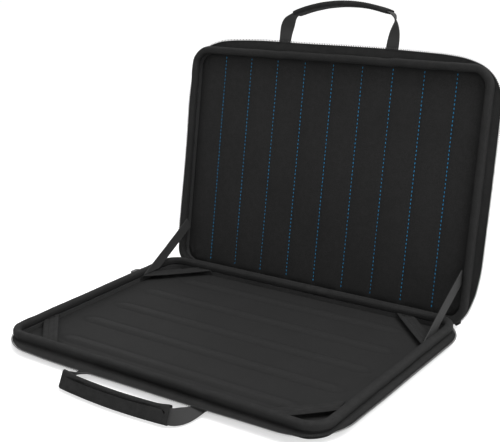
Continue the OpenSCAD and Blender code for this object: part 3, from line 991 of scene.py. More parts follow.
@dataclass
class RimBinding:
    """Padded binding round one half, its overlap and its seam."""

    half: Half
    sides: int = 28
    squareness: float = 0.8
    unevenness: float = 0.28
    join_len: float = 33.0
    join_x: float = 20.0
    join_t: float = 0.35
    seam_pitch: float = 3.4
    seam_drop: float = 1.6
    corner_gather: float = 0.16
    handle_tug: float = 0.9
    seed: float = 3.1

    def wander(self, co: Vector) -> Vector:
        """How far the real binding strays from an even tube.

        Args:
            co: A point of the even binding.

        Returns:
            The shift.
        """
        along, out = RIM.locate(co.x, co.y)
        up = co.z - CASE.bead_z
        if math.hypot(out, up) < 0.5 or up < -CASE.bead_r * 0.8:
            return Vector((0, 0, 0))
        outward = outside_of(RIM.at(along)[2])
        swell = self.unevenness * wobble(co.x, co.y, co.z, 14.0, self.seed)
        swell += 0.6 * self.unevenness * wobble(co.x, co.y, co.z, 5.0, self.seed + 5)
        if out < 0.5:
            swell += self.corner_gather * in_corner(co.x, co.y, 26.0, 8.0) * math.sin(along * 2.6)
        shift = (outward * out + Vector((0, 0, up))).normalized() * swell
        if co.y < -110:
            for x_anchor in (-CASE.handle_x, CASE.handle_x):
                pull = bump_at(co.x, x_anchor, 8.0) - 0.6 * bump_at(co.x, x_anchor + 15, 9.0)
                shift += Vector((0, 0.5 * pull, -self.handle_tug * pull))
        shift.z = min(shift.z, CASE.shut_z / 2 - 0.06 - co.z)
        return shift

    def wear_and_painted_light(self, co: Vector) -> float:
        """Lighter along the top of the bead: a painted highlight on its crest, with rubbing that is most at
        the corners.
        """
        crown = max(0.0, (co.z - CASE.bead_z - 1.2) / 2.8)
        return crown * (0.3 + 0.4 * near_corner(co, 34.0))

    def build(self) -> None:
        """Makes the binding, its overlap and its stitches."""
        profile = []
        for i in range(self.sides):
            angle = 2 * math.pi * (i + 0.5) / self.sides
            out, up = (
                CASE.bead_r * math.copysign(abs(part) ** self.squareness, part)
                for part in (math.cos(angle), math.sin(angle))
            )
            profile.append((out, max(CASE.bead_z + up, CASE.seam_z)))
        bm = sweep_rim(profile, closed=True, step=3.2, bends=22)
        for vert in bm.verts:
            vert.co += self.wander(vert.co)
        half_piece(
            self.half, "rim_binding_cloth", BINDING_CLOTH, "binding", "rim_binding", self.wear_and_painted_light,
        ).make(bm)
        self.build_join()
        self.build_seam()

    def build_join(self) -> None:
        """Makes the patch where the binding's two ends overlap."""
        middle = self.join_x if self.half is Half.BASE else -self.join_x

        def spot(a: float, b: float) -> Vector:
            """Place on the patch.

            Args:
                a: Share of the way along the bead.
                b: Share of the way round it.

            Returns:
                The point.
            """
            angle = math.radians(-22 + 224 * b)
            x = middle + (a - 0.5) * self.join_len
            lift = self.join_t + 0.12 * wobble(x, 40 * b, 0, 6.0, 2.0)
            edge = min(1.0, min(a, 1 - a) * self.join_len / 1.2)
            r = CASE.bead_r + 0.05 + lift * (0.55 + 0.45 * edge)
            return Vector((x, CASE.rim_d / 2 + r * math.cos(angle), CASE.bead_z + r * math.sin(angle)))

        bm = cloth_sheet(26, 24, spot, (self.join_len, 15.7), 0.4)
        half_piece(self.half, "rim_join_patch", BINDING_CLOTH, "binding", "rim_join", lambda co: 0.5).make(bm)
        places = []
        for end in (-1, 1):
            for i in range(9):
                angle = math.radians(-10 + 200 * i / 8)
                out = Vector((0, math.cos(angle), math.sin(angle)))
                x = middle + end * (self.join_len / 2 - 2.2) + (0.6 if i % 2 else -0.6)
                centre = Vector((x, CASE.rim_d / 2, CASE.bead_z)) + out * (CASE.bead_r + 0.5)
                lean = Vector((1.3 if i % 2 else -1.3, -math.sin(angle) * 1.6, math.cos(angle) * 1.6))
                places.append(facing(centre, lean, out))
        half_piece(self.half, "rim_join_stitching", DARK_THREAD).make(sew(Stitch(2.0, 0.45, 0.35), places))

    def build_seam(self) -> None:
        """Makes the seam that closes the binding on its inner side."""
        count = round(RIM.length / self.seam_pitch)
        places = []
        for i in range(count):
            x, y, heading = RIM.at(i * RIM.length / count, -CASE.bead_r * 0.93 - 0.12)
            away = -outside_of(heading) - 0.15 * UP
            places.append(facing(Vector((x, y, CASE.bead_z - self.seam_drop)), ahead_of(heading), away))
        half_piece(self.half, "rim_stitching", DARK_THREAD).make(sew(Stitch(2.3, 0.45, 0.4), places))


@dataclass
class SideLining:
    """Strip of lining up the inside of one half's wall."""

    half: Half
    thickness: float = 0.8

    def build(self) -> None:
        """Makes the strip."""
        low, high = CASE.panel_z + 0.05, CASE.seam_z - 0.05
        inner, outer = CASE.lining_in, CASE.lining_in + self.thickness - 0.05
        levels = [low + (high - low) * i / 5 for i in range(6)]
        profile = [(inner, z) for z in levels] + [(outer, z) for z in reversed(levels)]
        bm = sweep_rim(profile, closed=True, step=4.0, bends=20)
        for vert in bm.verts:
            along, out = RIM.locate(vert.co.x, vert.co.y)
            if out < inner + 0.2:
                push = 0.12 * wobble(vert.co.x, vert.co.y, vert.co.z, 7.0, 8.0)
                vert.co -= outside_of(RIM.at(along)[2]) * push
        half_piece(
            self.half, "side_lining_cloth", LINING_CLOTH, "lining", "side_lining", lambda co: 0.15,
        ).make(bm)


# ---- panels ----


@dataclass
class InnerPanel:
    """Outline of an inner panel, which the two halves' panels share."""

    cells_x: int
    cells_y: int
    thickness: float = 0.9

    @property
    def half_w(self) -> float:
        """Half its width."""
        return CASE.rim_w / 2 + CASE.lining_in - 0.05

    @property
    def half_d(self) -> float:
        """Half its depth."""
        return CASE.rim_d / 2 + CASE.lining_in - 0.05

    def outline(self, a: float, b: float) -> tuple[float, float]:
        """Spreads a pair of shares over the rounded outline.

        Args:
            a: Share of the width.
            b: Share of the depth.

        Returns:
            The point's x and y.
        """
        x, y = (2 * a - 1) * self.half_w, (2 * b - 1) * self.half_d
        r = CASE.corner_r + CASE.lining_in
        dx, dy = abs(x) - (self.half_w - r), abs(y) - (self.half_d - r)
        if dx > 0 and dy > 0:
            pull = max(dx, dy) / math.hypot(dx, dy)
            x = math.copysign(self.half_w - r + dx * pull, x)
            y = math.copysign(self.half_d - r + dy * pull, y)
        return x, y

    def edge(self, x: float, y: float) -> float:
        """Distance of a point inside the outline."""
        return -(RIM.locate(x, y)[1] - CASE.lining_in)

    def spot(self, a: float, b: float) -> Vector:
        """Place of a pair of shares on the panel's face."""
        raise NotImplementedError

    def cover(self) -> BMesh:
        """Lays the panel's cloth over its face."""
        size = (2 * self.half_w, 2 * self.half_d)
        return cloth_sheet(self.cells_x, self.cells_y, self.spot, size, self.thickness)


@dataclass
class BasePanel(InnerPanel):
    """Base panel: cloth moulded over foam, with pressed ribs."""

    cells_x: int = 100
    cells_y: int = 260
    rib_count: int = 5
    rib_pitch: float = 44.0
    rib_w: float = 14.0
    rib_h: float = 1.4
    rib_len: float = 294.0
    rib_short: float = 28.0
    press: float = 0.35

    def rib_distance(self, x: float, y: float) -> float:
        """Distance from the nearest rib's middle line, 1 at the rib's foot.

        Args:
            x: Distance to the right of the middle.
            y: Distance behind the middle.

        Returns:
            The distance.
        """
        middle = (self.rib_count - 1) / 2
        index = max(-middle, min(middle, round(y / self.rib_pitch)))
        length = self.rib_len - (self.rib_short if abs(index) == middle else 0.0)
        beyond = max(0.0, abs(x) - length / 2 + self.rib_w)
        return math.hypot(0.5 * beyond, y - index * self.rib_pitch) / (self.rib_w / 2)

    def rib_height(self, distance: float) -> float:
        """Height of a rib, with the pressed line round its foot.

        Args:
            distance: Distance from its middle line, 1 at its foot.

        Returns:
            The height.
        """
        ridge = self.rib_h * 0.5 * (1 + math.cos(math.pi * min(1.0, distance) ** 1.2))
        return ridge - self.press * bump_at(distance, 1.08, 0.2)

    def spot(self, a: float, b: float) -> Vector:
        """Place of a pair of shares on the panel's face.

        Args:
            a: Share of the width.
            b: Share of the depth.

        Returns:
            The point.
        """
        x, y = self.outline(a, b)
        inside = self.edge(x, y)
        z = CASE.face_z + self.rib_height(self.rib_distance(x, y)) + 0.16 * wobble(x, y, 0, 46.0, 4.0)
        z += 0.05 * wobble(x, y, 0, 11.0, 9.0)
        return Vector((x, y, z - 0.9 * math.exp(-max(0.0, inside) / 0.8)))

    def wear_and_painted_light(self, co: Vector) -> float:
        """Painted highlight on the ribs' tops and painted shade in the pressed lines round their feet."""
        distance = self.rib_distance(co.x, co.y)
        return 0.4 + 0.5 * bump_at(distance, 0.0, 0.62) - 0.4 * bump_at(distance, 1.04, 0.2)

    def build(self) -> None:
        """Makes the panel."""
        piece = Piece(
            "base_panel_cover", BASE_PANEL_CLOTH, "base_panel_fabric", "base", ("base_panel",),
            wear_and_painted_light=self.wear_and_painted_light,
        ).make(self.cover())


@dataclass
class LidPanel(InnerPanel):
    """Lid panel: padding quilted by rows of blue stitches."""

    cells_x: int = 240
    cells_y: int = 84
    rows: int = 9
    row_pitch: float = 34.0
    crown: float = 1.0
    groove: float = 0.45
    stitch_pitch: float = 4.0
    seam_front: float = 115.0
    seam_rear: float = 112.5
    pucker_x: float = 161.0
    pucker_y: float = 110.0
    pucker_h: float = 0.75
    ripple: float = 0.07

    def seams(self) -> list[float]:
        """The stitch rows' distances from the middle."""
        return [(i - (self.rows - 1) / 2) * self.row_pitch for i in range(self.rows)]

    def padding(self, x: float, y: float) -> float:
        """Height of the padding over the panel's face.

        Args:
            x: Distance to the right of the middle.
            y: Distance behind the middle.

        Returns:
            The height.
        """
        marks = [-self.half_w, *self.seams(), self.half_w]
        right, share = find_leg(marks, x)
        nearest = min(abs(x - marks[right - 1]), abs(x - marks[right]))
        height = self.crown * (1 - (2 * share - 1) ** 2) - self.groove * math.exp(-nearest / 1.3)
        ripple = math.sin(math.pi * y / self.stitch_pitch + 0.7 * right)
        height += self.ripple * ripple * math.exp(-nearest / 2.6)
        return height + 0.14 * wobble(x, y, 0, 38.0, 6.0)

    def pucker(self, x: float, y: float) -> float:
        """Height of the gathered cloth in the nearest corner.

        Args:
            x: Distance to the right of the middle.
            y: Distance behind the middle.

        Returns:
            The height.
        """
        dx, dy = abs(x) - self.pucker_x, abs(y) - self.pucker_y
        away = math.hypot(dx, dy)
        if away > 26:
            return 0.0
        angle = math.atan2(dy, dx)
        return self.pucker_h * math.sin(5 * angle + 0.6) * bump_at(away, 4.5, 5.5)

    def spot(self, a: float, b: float) -> Vector:
        """Place of a pair of shares on the panel's face.

        Args:
            a: Share of the width.
            b: Share of the depth.

        Returns:
            The point.
        """
        x, y = self.outline(a, b)
        inside = max(0.0, self.edge(x, y))
        lift = (self.padding(x, y) + self.pucker(x, y)) * (1 - math.exp(-inside / 3.0))
        return Vector((x, y, CASE.face_z + lift - 0.5 * math.exp(-inside / 1.0)))

    def build(self) -> None:
        """Makes the panel and its stitches."""
        # The cloth is lighter the higher the padding rises over the panel's face.
        piece = Piece(
            "lid_panel_quilting", LID_PANEL_CLOTH, "lid_panel_fabric", "lid", ("lid_panel",),
            Half.LID.place, lambda co: 0.25 * limited(co.z - CASE.face_z),
        ).make(self.cover())
        z = CASE.face_z - self.groove + 0.22
        places = []
        for x in self.seams():
            front, rear = Vector((x, -self.seam_front, z)), Vector((x, self.seam_rear, z))
            places += straight_seam(front, rear, UP, self.stitch_pitch)
        half_piece(Half.LID, "panel_stitching", BLUE_THREAD).make(sew(Stitch(2.25, 0.8, 0.55), places))


# ---- zip ----


class Stray(NamedTuple):
    """A place where the zip's free edge strays from its even line."""

    x: float
    y: float
    reach: float
    out: float = 0.0
    drop: float = 0.0


STRAYS = {
    Half.BASE: (
        Stray(-95, -132, 75, 1.5, 2.7), Stray(30, -132, 80, 1.2, 1.6), Stray(182, -85, 32, -1.0),
        Stray(184, 5, 55, -0.5),
    ),
    Half.LID: (
        Stray(-90, -132, 48, 2.2), Stray(0, -132, 70, 2.2), Stray(70, -132, 45, 1.0),
        Stray(150, -131, 20, -2.4), Stray(-150, -131, 16, -1.7), Stray(-182, -98, 22, -3.6),
        Stray(-184, -10, 60, -1.5), Stray(182, 98, 20, -3.3), Stray(184, -20, 60, 0.4),
    ),
}


@dataclass
class ZipHalf:
    """One half of the zip: its tape, its coil and its end tabs."""

    half: Half
    coil_out: float = 11.3
    coil_z: float = 8.7
    corner_r: float = 46.0
    wrap: float = 50.0
    tape_t: float = 0.6
    tape_w: float = 9.3
    sewn_leg: float = 1.9
    spread: float = 0.93
    unevenness: float = 0.22
    corner_wave: float = 0.28
    coil_reach: float = 1.02
    coil_rise: float = 0.85
    wire_r: float = 0.27
    turn_pitch: float = 2.0
    turn_points: int = 8
    tab_size: Point = (6.4, 5.2, 3.6)

    @property
    def coil_track(self) -> Track:
        """The coil's own line."""
        return Track(CASE.rim_w + 2 * self.coil_out, CASE.rim_d + 2 * self.coil_out, self.corner_r)

    def span(self, track: Track, wrap: float) -> tuple[float, float]:
        """Where the zip starts and ends along a track, the long way round the front.

        Args:
            track: The track.
            wrap: Degrees by which it runs on round each rear corner.

        Returns:
            The two distances, the second the larger.
        """
        bend = math.radians(wrap) * track.radius
        end = 2 * track.core_y + bend
        start = 2 * track.core_y + track.bend + 2 * track.core_x + track.bend - bend
        return start, end + track.length

    def knots(self, track: Track, wrap: float) -> list[float]:
        """Distances along a track where the zip's straights and corners meet.

        Args:
            track: The track.
            wrap: Degrees by which it runs on round each rear corner.

        Returns:
            The distances from the zip's left rear end to its right rear end.
        """
        start, end = self.span(track, wrap)
        left = start + math.radians(wrap) * track.radius
        marks = [start, left]
        for run in (2 * track.core_y, track.bend, 2 * track.core_x, track.bend, 2 * track.core_y):
            marks.append(marks[-1] + run)
        return [*marks, end]

    def beside(self, share: float, across: float) -> tuple[float, float, float]:
        """A point of the tape, seen from above.

        Args:
            share: Share of the zip's length, from its left rear end.
            across: Share of the tape's width, 0 at the seam and 1 at the coil.

        Returns:
            The point's x and y, and the heading.
        """
        inner = Track(
            CASE.rim_w + 2 * CASE.shell_out, CASE.rim_d + 2 * CASE.shell_out, CASE.corner_r + CASE.shell_out,
        )
        outer = self.coil_track
        marks = self.knots(outer, self.wrap)
        target = marks[0] + share * (marks[-1] - marks[0])
        leg, part = find_leg(marks, target)
        inner_marks = self.knots(inner, self.wrap + 5)
        x0, y0, _ = inner.at(inner_marks[leg - 1] + part * (inner_marks[leg] - inner_marks[leg - 1]))
        x1, y1, heading = outer.at(target)
        return x0 + (x1 - x0) * across, y0 + (y1 - y0) * across, heading

    def stray(self, x: float, y: float, heading: float, share: float = 1.0) -> Vector:
        """How far the zip strays from its even line.

        Args:
            x: The even place's x.
            y: The even place's y.
            heading: Heading of the zip there.
            share: How much of the stray the place takes part in.

        Returns:
            The shift.
        """
        out = drop = 0.0
        for spot in STRAYS[self.half]:
            near = bump_at(math.hypot(x - spot.x, y - spot.y), 0.0, spot.reach)
            out += near * spot.out
            drop += near * spot.drop
        return Vector((math.sin(heading) * out, -math.cos(heading) * out, -drop)) * share

    @property
    def length(self) -> float:
        """The coil's length."""
        start, end = self.span(self.coil_track, self.wrap)
        return end - start

    @property
    def girth(self) -> float:
        """Width of the tape with the part that is sewn in."""
        return self.sewn_leg + self.tape_w

    def tape_spot(self, a: float, b: float) -> Vector:
        """Place on the tape's upper face.

        Args:
            a: Share of the zip's length.
            b: Share of the tape's width, from its sewn edge.

        Returns:
            The point.
        """
        run = b * self.girth
        across = max(0.0, run - self.sewn_leg) / self.tape_w
        x, y, heading = self.beside(a, across * self.spread + 0.02)
        bend = math.exp(-across * 9)
        z = self.coil_z + 0.3 + (self.sewn_leg - min(run, self.sewn_leg)) + 0.35 * bend
        z += self.unevenness * 4 * across * (1 - across) * wobble(x, y, 0, 9.0, 7.0)
        wave = self.corner_wave * in_corner(x, y, 32.0, 20.0) * math.sin(a * self.length * 1.1)
        z += wave * (1 - across) * (across > 0.03)
        return Vector((x, y, z)) + self.stray(x, y, heading, across)

    def build(self) -> None:
        """Makes the tape, its stitches, the coil and the end tabs."""
        bm = cloth_sheet(420, 12, self.tape_spot, (self.length, self.girth), self.tape_t)
        half_piece(self.half, "zip_tape_cloth", TAPE_CLOTH, "webbing", "zip_tape", lambda co: 0.3).make(bm)
        self.build_coil()
        self.build_stitches()
        self.build_tabs()

    def build_coil(self) -> None:
        """Winds the coil as one long wire."""
        name = self.half.value
        track = self.coil_track
        start, end = self.span(track, self.wrap)
        turns = int((end - start) / self.turn_pitch)
        curve = bpy.data.curves.new("coil_line", "CURVE")
        curve.dimensions = "3D"
        curve.bevel_depth = self.wire_r * MM
        curve.bevel_resolution = 1
        line = curve.splines.new("POLY")
        count = turns * self.turn_points
        line.points.add(count)
        place = self.half.place
        for i in range(count + 1):
            angle = 2 * math.pi * i / self.turn_points
            out = self.coil_reach * math.cos(angle)
            x, y, heading = track.at(start + (end - start) * i / count, out)
            even = Vector((x, y, self.coil_z + self.coil_rise * math.sin(angle)))
            spot = place @ (even + self.stray(x, y, heading))
            line.points[i].co = (*spot, 1.0)
        holder = bpy.data.objects.new("coil_line", curve)
        bpy.context.scene.collection.objects.link(holder)
        mesh = bpy.data.meshes.new_from_object(holder.evaluated_get(bpy.context.evaluated_depsgraph_get()))
        bpy.data.objects.remove(holder)
        bm = bmesh.new()
        bm.from_mesh(mesh)
        bpy.data.meshes.remove(mesh)
        bmesh.ops.holes_fill(bm, edges=[edge for edge in bm.edges if edge.is_boundary])
        bmesh.ops.recalc_face_normals(bm, faces=bm.faces)
        Piece(
            f"{name}_zip_coil_wire", COIL_NYLON, "zip_plastic", name, (f"{name}_zip_coil",),
            Matrix.Identity(4),
        ).make(bm)

    def build_stitches(self) -> None:
        """Sews the coil to its tape, and the tape into the seam."""
        places = []
        for across, pitch in ((0.8, 2.0), (0.22, 3.4)):
            count = round(self.length / pitch)
            for i in range(1, count):
                share = i / count
                heading = self.beside(share, across)[2]
                b = (across / self.spread * self.tape_w + self.sewn_leg) / self.girth
                spot = self.tape_spot(share, min(1.0, b))
                places.append(facing(spot + 0.1 * UP, ahead_of(heading), UP))
        bm = sew(Stitch(1.6, 0.5, 0.4, around=6, rings=3), places)
        half_piece(self.half, "zip_stitching", DARK_THREAD).make(bm)

    def build_tabs(self) -> None:
        """Makes the folded tabs over the zip's two ends."""
        track = self.coil_track
        bm = bmesh.new()
        for along, sense in zip(self.span(track, self.wrap), (-1, 1)):
            x, y, heading = track.at(along + sense * 1.2, -0.8)
            middle = Vector((x, y, self.coil_z)) + self.stray(x, y, heading)
            place = facing(middle, ahead_of(heading) * sense, UP) @ Matrix.Diagonal((*self.tab_size, 1))
            made = bmesh.ops.create_cube(bm, size=1.0, matrix=place)["verts"]
            edges = list({edge for vert in made for edge in vert.link_edges})
            bmesh.ops.bevel(
                bm, geom=[*made, *edges], offset=1.35, segments=4, profile=0.5, affect="EDGES",
                material=-1,
            )
        lay_uv(bm, lambda co: (co.x + 0.3 * co.z, co.y), (0.0, 0.0))
        half_piece(self.half, "zip_end_tabs", TAPE_CLOTH, "webbing", "zip_ends", lambda co: 0.6).make(bm)


@dataclass
class ZipSlider:
    """Slider and pull, cast and painted, with their edges broken."""

    edge_break: float = 0.22

    def build(self) -> None:
        """Makes both from the CAD pieces' own shapes."""
        for node, body in (("zip_slider", "slider"), ("zip_pull", "pull")):
            bm = bmesh.new()
            bm.from_mesh(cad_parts[node].data)
            bmesh.ops.remove_doubles(bm, verts=bm.verts, dist=1e-6)
            bmesh.ops.dissolve_limit(bm, angle_limit=math.radians(1), verts=bm.verts, edges=bm.edges)
            bmesh.ops.transform(bm, matrix=Matrix.Scale(1 / MM, 4), verts=bm.verts)
            sharp = [e for e in bm.edges if e.is_manifold and e.calc_face_angle(0) > math.radians(50)]
            bmesh.ops.bevel(
                bm, geom=sharp, offset=self.edge_break, segments=2, profile=0.5, affect="EDGES",
                clamp_overlap=True, material=-1,
            )
            lay_uv(bm, lambda co: (co.x + co.z, co.y + co.z), (0.0, 0.0))
            Piece(
                f"{node}_casting", SLIDER_PAINT, "slider_metal", body, (node,), wear_and_painted_light=lambda co: 0.7,
            ).make(bm)


# ---- elastics, stays and hinge ----


@dataclass
class CornerElastic:
    """Ribbed elastic across one corner of the base."""

    name: str
    side_x: int
    side_y: int
    width: float = 14.0
    thickness: float = 1.2
    under_z: float = 11.8
    reach: float = 238.0
    wall_gap: float = 4.5
    turned: float = 4.2
    band_len: float = 90.0
    ribs: int = 3

    def spot(self, a: float, b: float) -> Vector:
        """Place on the band's upper face.

        Args:
            a: Share of the way along it.
            b: Share of the way across it.

        Returns:
            The point.
        """
        wall_x, wall_y = CASE.rim_w / 2 - self.wall_gap, CASE.rim_d / 2 - self.wall_gap
        level = self.reach + (b - 0.5) * self.width * math.sqrt(2)
        first = Vector((wall_x, level - wall_x))
        last = Vector((level - wall_y, wall_y))
        length = (last - first).length
        run = a * (length + 2 * self.turned) - self.turned
        share = limited(run / length)
        flat = first.lerp(last, share)
        rib = abs(math.sin(math.pi * b * self.ribs)) ** 0.6
        z = self.under_z + self.thickness - max(0.0, -run, run - length)
        z -= 0.7 * (bump_at(run, 0.0, 1.2) + bump_at(run, length, 1.2))
        z += 0.42 * (rib - 0.5) - 0.3 * (bump_at(b, 0.0, 0.06) + bump_at(b, 1.0, 0.06))
        z -= 0.5 * math.sin(math.pi * share)
        return Vector((flat.x * self.side_x, flat.y * self.side_y, max(z, CASE.face_z + 0.4)))

    def build(self) -> None:
        """Makes the band and the tacks at its ends."""
        bm = cloth_sheet(64, 24, self.spot, (self.band_len, self.width), 0.9)
        Piece(f"{self.name}_band", ELASTIC, "webbing", "base", (self.name,), wear_and_painted_light=lambda co: 0.4).make(bm)
        places = []
        for a in (0.12, 0.88):
            along = self.spot(a, 0.85) - self.spot(a, 0.15)
            places += bar_tack(self.spot(a, 0.5) + 0.25 * UP, along, UP, 9.5, 1.5)
        Piece(f"{self.name}_tacks", DARK_THREAD, "", "base").make(sew(TACK_STITCH, places))


@dataclass
class SideStay:
    """Flat webbing that holds the lid open at one side."""

    side: int
    width: float = 12.0
    thickness: float = 1.2
    foot_y: float = 76.0
    foot_z: float = 13.6
    rise: float = 47.0
    left_slack: float = 1.4

    @property
    def name(self) -> str:
        """The stay's CAD node."""
        return "stay_right" if self.side > 0 else "stay_left"

    def line(self) -> tuple[Vector, Vector]:
        """Middle of the stay's foot and of its upper end, as y and z."""
        slack = 0.0 if self.side > 0 else self.left_slack
        top = Vector(CASE.opened(CASE.rim_d / 2 - self.rise + slack, CASE.shut_z - CASE.half_h + 5.5))
        return Vector((self.foot_y + slack, self.foot_z)), top

    def spot(self, a: float, b: float) -> Vector:
        """Place in the webbing.

        Args:
            a: Share of the way up it.
            b: Share of the way across it.

        Returns:
            The point.
        """
        foot, top = self.line()
        along = (top - foot).normalized()
        aside = Vector((-along.y, along.x))
        start = foot - along * self.width
        run = a * (top - start).length
        point = start + along * run + aside * (b - 0.5) * self.width
        sag = math.sin(math.pi * limited(a))
        x = CASE.rim_w / 2 - CASE.bead_r - 0.3 - self.thickness / 2
        x -= 0.35 * sag + 0.5 * (b - 0.5) ** 2 * sag
        x += 0.18 * wobble(point.x, point.y, 0, 13.0, 5.0 + self.side)
        return Vector((x * self.side, point.x, point.y))

    def build(self) -> None:
        """Makes the webbing and its tacks."""
        foot, top = self.line()
        bm = cloth_grid(72, 10, self.spot, ((top - foot).length + self.width, self.width))
        bmesh.ops.bisect_plane(
            bm, geom=[*bm.verts, *bm.edges, *bm.faces], plane_co=(0, 0, self.foot_z - 0.2),
            plane_no=(0, 0, -1), clear_outer=True,
        )
        bmesh.ops.recalc_face_normals(bm, faces=bm.faces)
        thicken(bm, self.thickness * 0.8)
        webbing = Piece(
            f"{self.name}_webbing", WEBBING, "webbing", "base", (self.name,), wear_and_painted_light=lambda co: 0.3,
            rides=False,
        ).make(bm)
        places = []
        inward = Vector((-self.side, 0, 0))
        across = self.spot(0.5, 0.9) - self.spot(0.5, 0.1)
        for a in (0.22, 0.93, 0.975):
            middle = self.spot(a, 0.5) + inward * (self.thickness * 0.5 + 0.1)
            places += bar_tack(middle, across, inward, 9.0, 1.5)
        bm = sew(TACK_STITCH, places)
        tacks = Piece(f"{self.name}_tacks", DARK_THREAD, "", "base", rides=False).make(bm)
        for part in (webbing, tacks):
            cross_hinge(part)


@dataclass
class HingeCloth:
    """Fabric hinge along the rear, from the base's wall to the lid's."""

    width: float = 290.0
    thickness: float = 1.0
    gap: float = 0.3
    bend: float = 2.4
    floor_gap: float = 0.6

    def path(self) -> list[Vector]:
        """The hinge's section, from the base to the lid, as y and z."""
        off = CASE.shell_out + self.gap + self.thickness / 2
        y0 = CASE.rim_d / 2 + off
        floor_z = self.thickness / 2 + self.floor_gap
        lid_start = Vector(CASE.opened(CASE.rim_d / 2 + off, CASE.shut_z - CASE.seam_z + 0.6))
        lid_end = Vector(CASE.opened(CASE.rim_d / 2 + off, CASE.shut_z - 8.4))
        line = [Vector((y0, CASE.seam_z - 1))]
        for step in range(7):
            turn = math.radians(15 * step)
            line.append(Vector((
                y0 + self.bend * (1 - math.cos(turn)), floor_z + self.bend * (1 - math.sin(turn)),
            )))
        return [*line, Vector((lid_start.x - 2.2, floor_z)), lid_start + Vector((0.6, -0.2)), lid_end]

    def build(self) -> None:
        """Makes the hinge, bending between the halves."""
        path = self.path()
        lengths = [0.0]
        for first, last in zip(path, path[1:]):
            lengths.append(lengths[-1] + (last - first).length)
        total = lengths[-1]

        def spot(a: float, b: float) -> Vector:
            """Place on the hinge's middle.

            Args:
                a: Share of the way along the rear.
                b: Share of the way across the hinge.

            Returns:
                The point.
            """
            run = b * total
            leg, part = find_leg(lengths, run)
            point = path[leg - 1].lerp(path[leg], part)
            x = (a - 0.5) * self.width
            pucker = 0.12 * math.sin(math.pi * b) * wobble(x, run, 0, 8.0, 11.0)
            return Vector((x, point.x, point.y + pucker))

        bm = cloth_grid(116, 30, spot, (self.width, total))
        face_towards(bm, -UP)
        for vert in bm.verts:
            vert.co += vert.normal * (self.thickness * 0.4)
        thicken(bm, self.thickness * 0.8)
        piece = Piece(
            "hinge_cloth", SHELL_CLOTH, "shell_fabric", "base", ("hinge_fabric",),
            wear_and_painted_light=lambda co: 0.35, rides=False,
        ).make(bm)
        cross_hinge(piece)


# ---- handles ----


@dataclass(frozen=True)
class Station:
    """One station of a handle's webbing."""

    at: Vector
    ahead: Vector
    across: Vector

    @property
    def frame(self) -> Matrix:
        """Matrix whose X runs through the thickness and Y across the width."""
        ahead = self.ahead.normalized()
        across = (self.across - ahead * self.across.dot(ahead)).normalized()
        through = ahead.cross(across)
        turned = Matrix((through, across, ahead)).transposed().to_4x4()
        return Matrix.Translation(self.at) @ turned


def rounded_section(thick: float, wide: float, radius: float, steps: int = 4) -> list[tuple[float, float]]:
    """Points round a rounded rectangle.

    Args:
        thick: Size through the thickness.
        wide: Size across the width.
        radius: Corner radius.
        steps: Pieces round each corner.

    Returns:
        The points in order.
    """
    points = []
    for corner, (sx, sy) in enumerate(((1, 1), (-1, 1), (-1, -1), (1, -1))):
        centre = (sx * (thick / 2 - radius), sy * (wide / 2 - radius))
        for i in range(steps + 1):
            angle = math.pi / 2 * (corner + i / steps)
            points.append((centre[0] + radius * math.cos(angle), centre[1] + radius * math.sin(angle)))
    straight = [points[0]]
    for before, after in zip(points, points[1:] + points[:1]):
        pieces = max(1, round(math.dist(before, after) / 2.2))
        for i in range(1, pieces + 1):
            share = i / pieces
            straight.append(tuple(start + (end - start) * share for start, end in zip(before, after)))
    return straight[:-1]


def loft(stations: Sequence[Station], sections: Sequence[Profile]) -> BMesh:
    """Extrudes a section through stations and closes both ends.

    Args:
        stations: The stations in order.
        sections: The section at each one, all of the same length.

    Returns:
        The mesh, with its UV map.
    """
    bm = bmesh.new()
    run = bm.verts.layers.float.new("run")
    girth = bm.verts.layers.float.new("girth")
    row = draw_row(bm, [tuple(stations[0].frame @ Vector((x, y, 0))) for x, y in sections[0]], closed=True)
    order = row_verts(row)
    length = 0.0
    around = [0.0]
    for before, after in zip(sections[0], sections[0][1:]):
        around.append(around[-1] + math.dist(before, after))
    for vert, turn in zip(order, around):
        vert[girth] = turn
    start_row = row
    for index in range(1, len(stations)):
        row = new_ring(bm, row)
        fresh = set(row_verts(row))
        length += (stations[index].at - stations[index - 1].at).length
        order = [next(e.other_vert(v) for e in v.link_edges if e.other_vert(v) in fresh) for v in order]
        for twin, (x, y), turn in zip(order, sections[index], around):
            twin.co = stations[index].frame @ Vector((x, y, 0))
            twin[run] = length
            twin[girth] = turn
    whole = around[-1] + math.dist(sections[0][-1], sections[0][0])
    layer = bm.loops.layers.uv.verify()
    for face in bm.faces:
        base = face.loops[0].vert[girth]
        for loop in face.loops:
            turn = loop.vert[girth]
            if abs(turn - base) > whole / 2:
                turn += whole if turn < base else -whole
            loop[layer].uv = (loop.vert[run] * MM, turn * MM)
    for edges in (start_row, row):
        bmesh.ops.edgeloop_fill(bm, edges=edges)
    bmesh.ops.recalc_face_normals(bm, faces=bm.faces)
    return bm


def bezier(points: Sequence[Vector], t: float) -> tuple[Vector, Vector]:
    """A point of a cubic curve and its direction.

    Args:
        points: The curve's four points.
        t: Share of the way, 0 to 1.

    Returns:
        The point and the direction.
    """
    p0, p1, p2, p3 = points
    u = 1 - t
    spot = p0 * u**3 + p1 * (3 * t * u * u) + p2 * (3 * t * t * u) + p3 * t**3
    ahead = (p1 - p0) * (u * u) + (p2 - p1) * (2 * t * u) + (p3 - p2) * (t * t)
    return spot, ahead


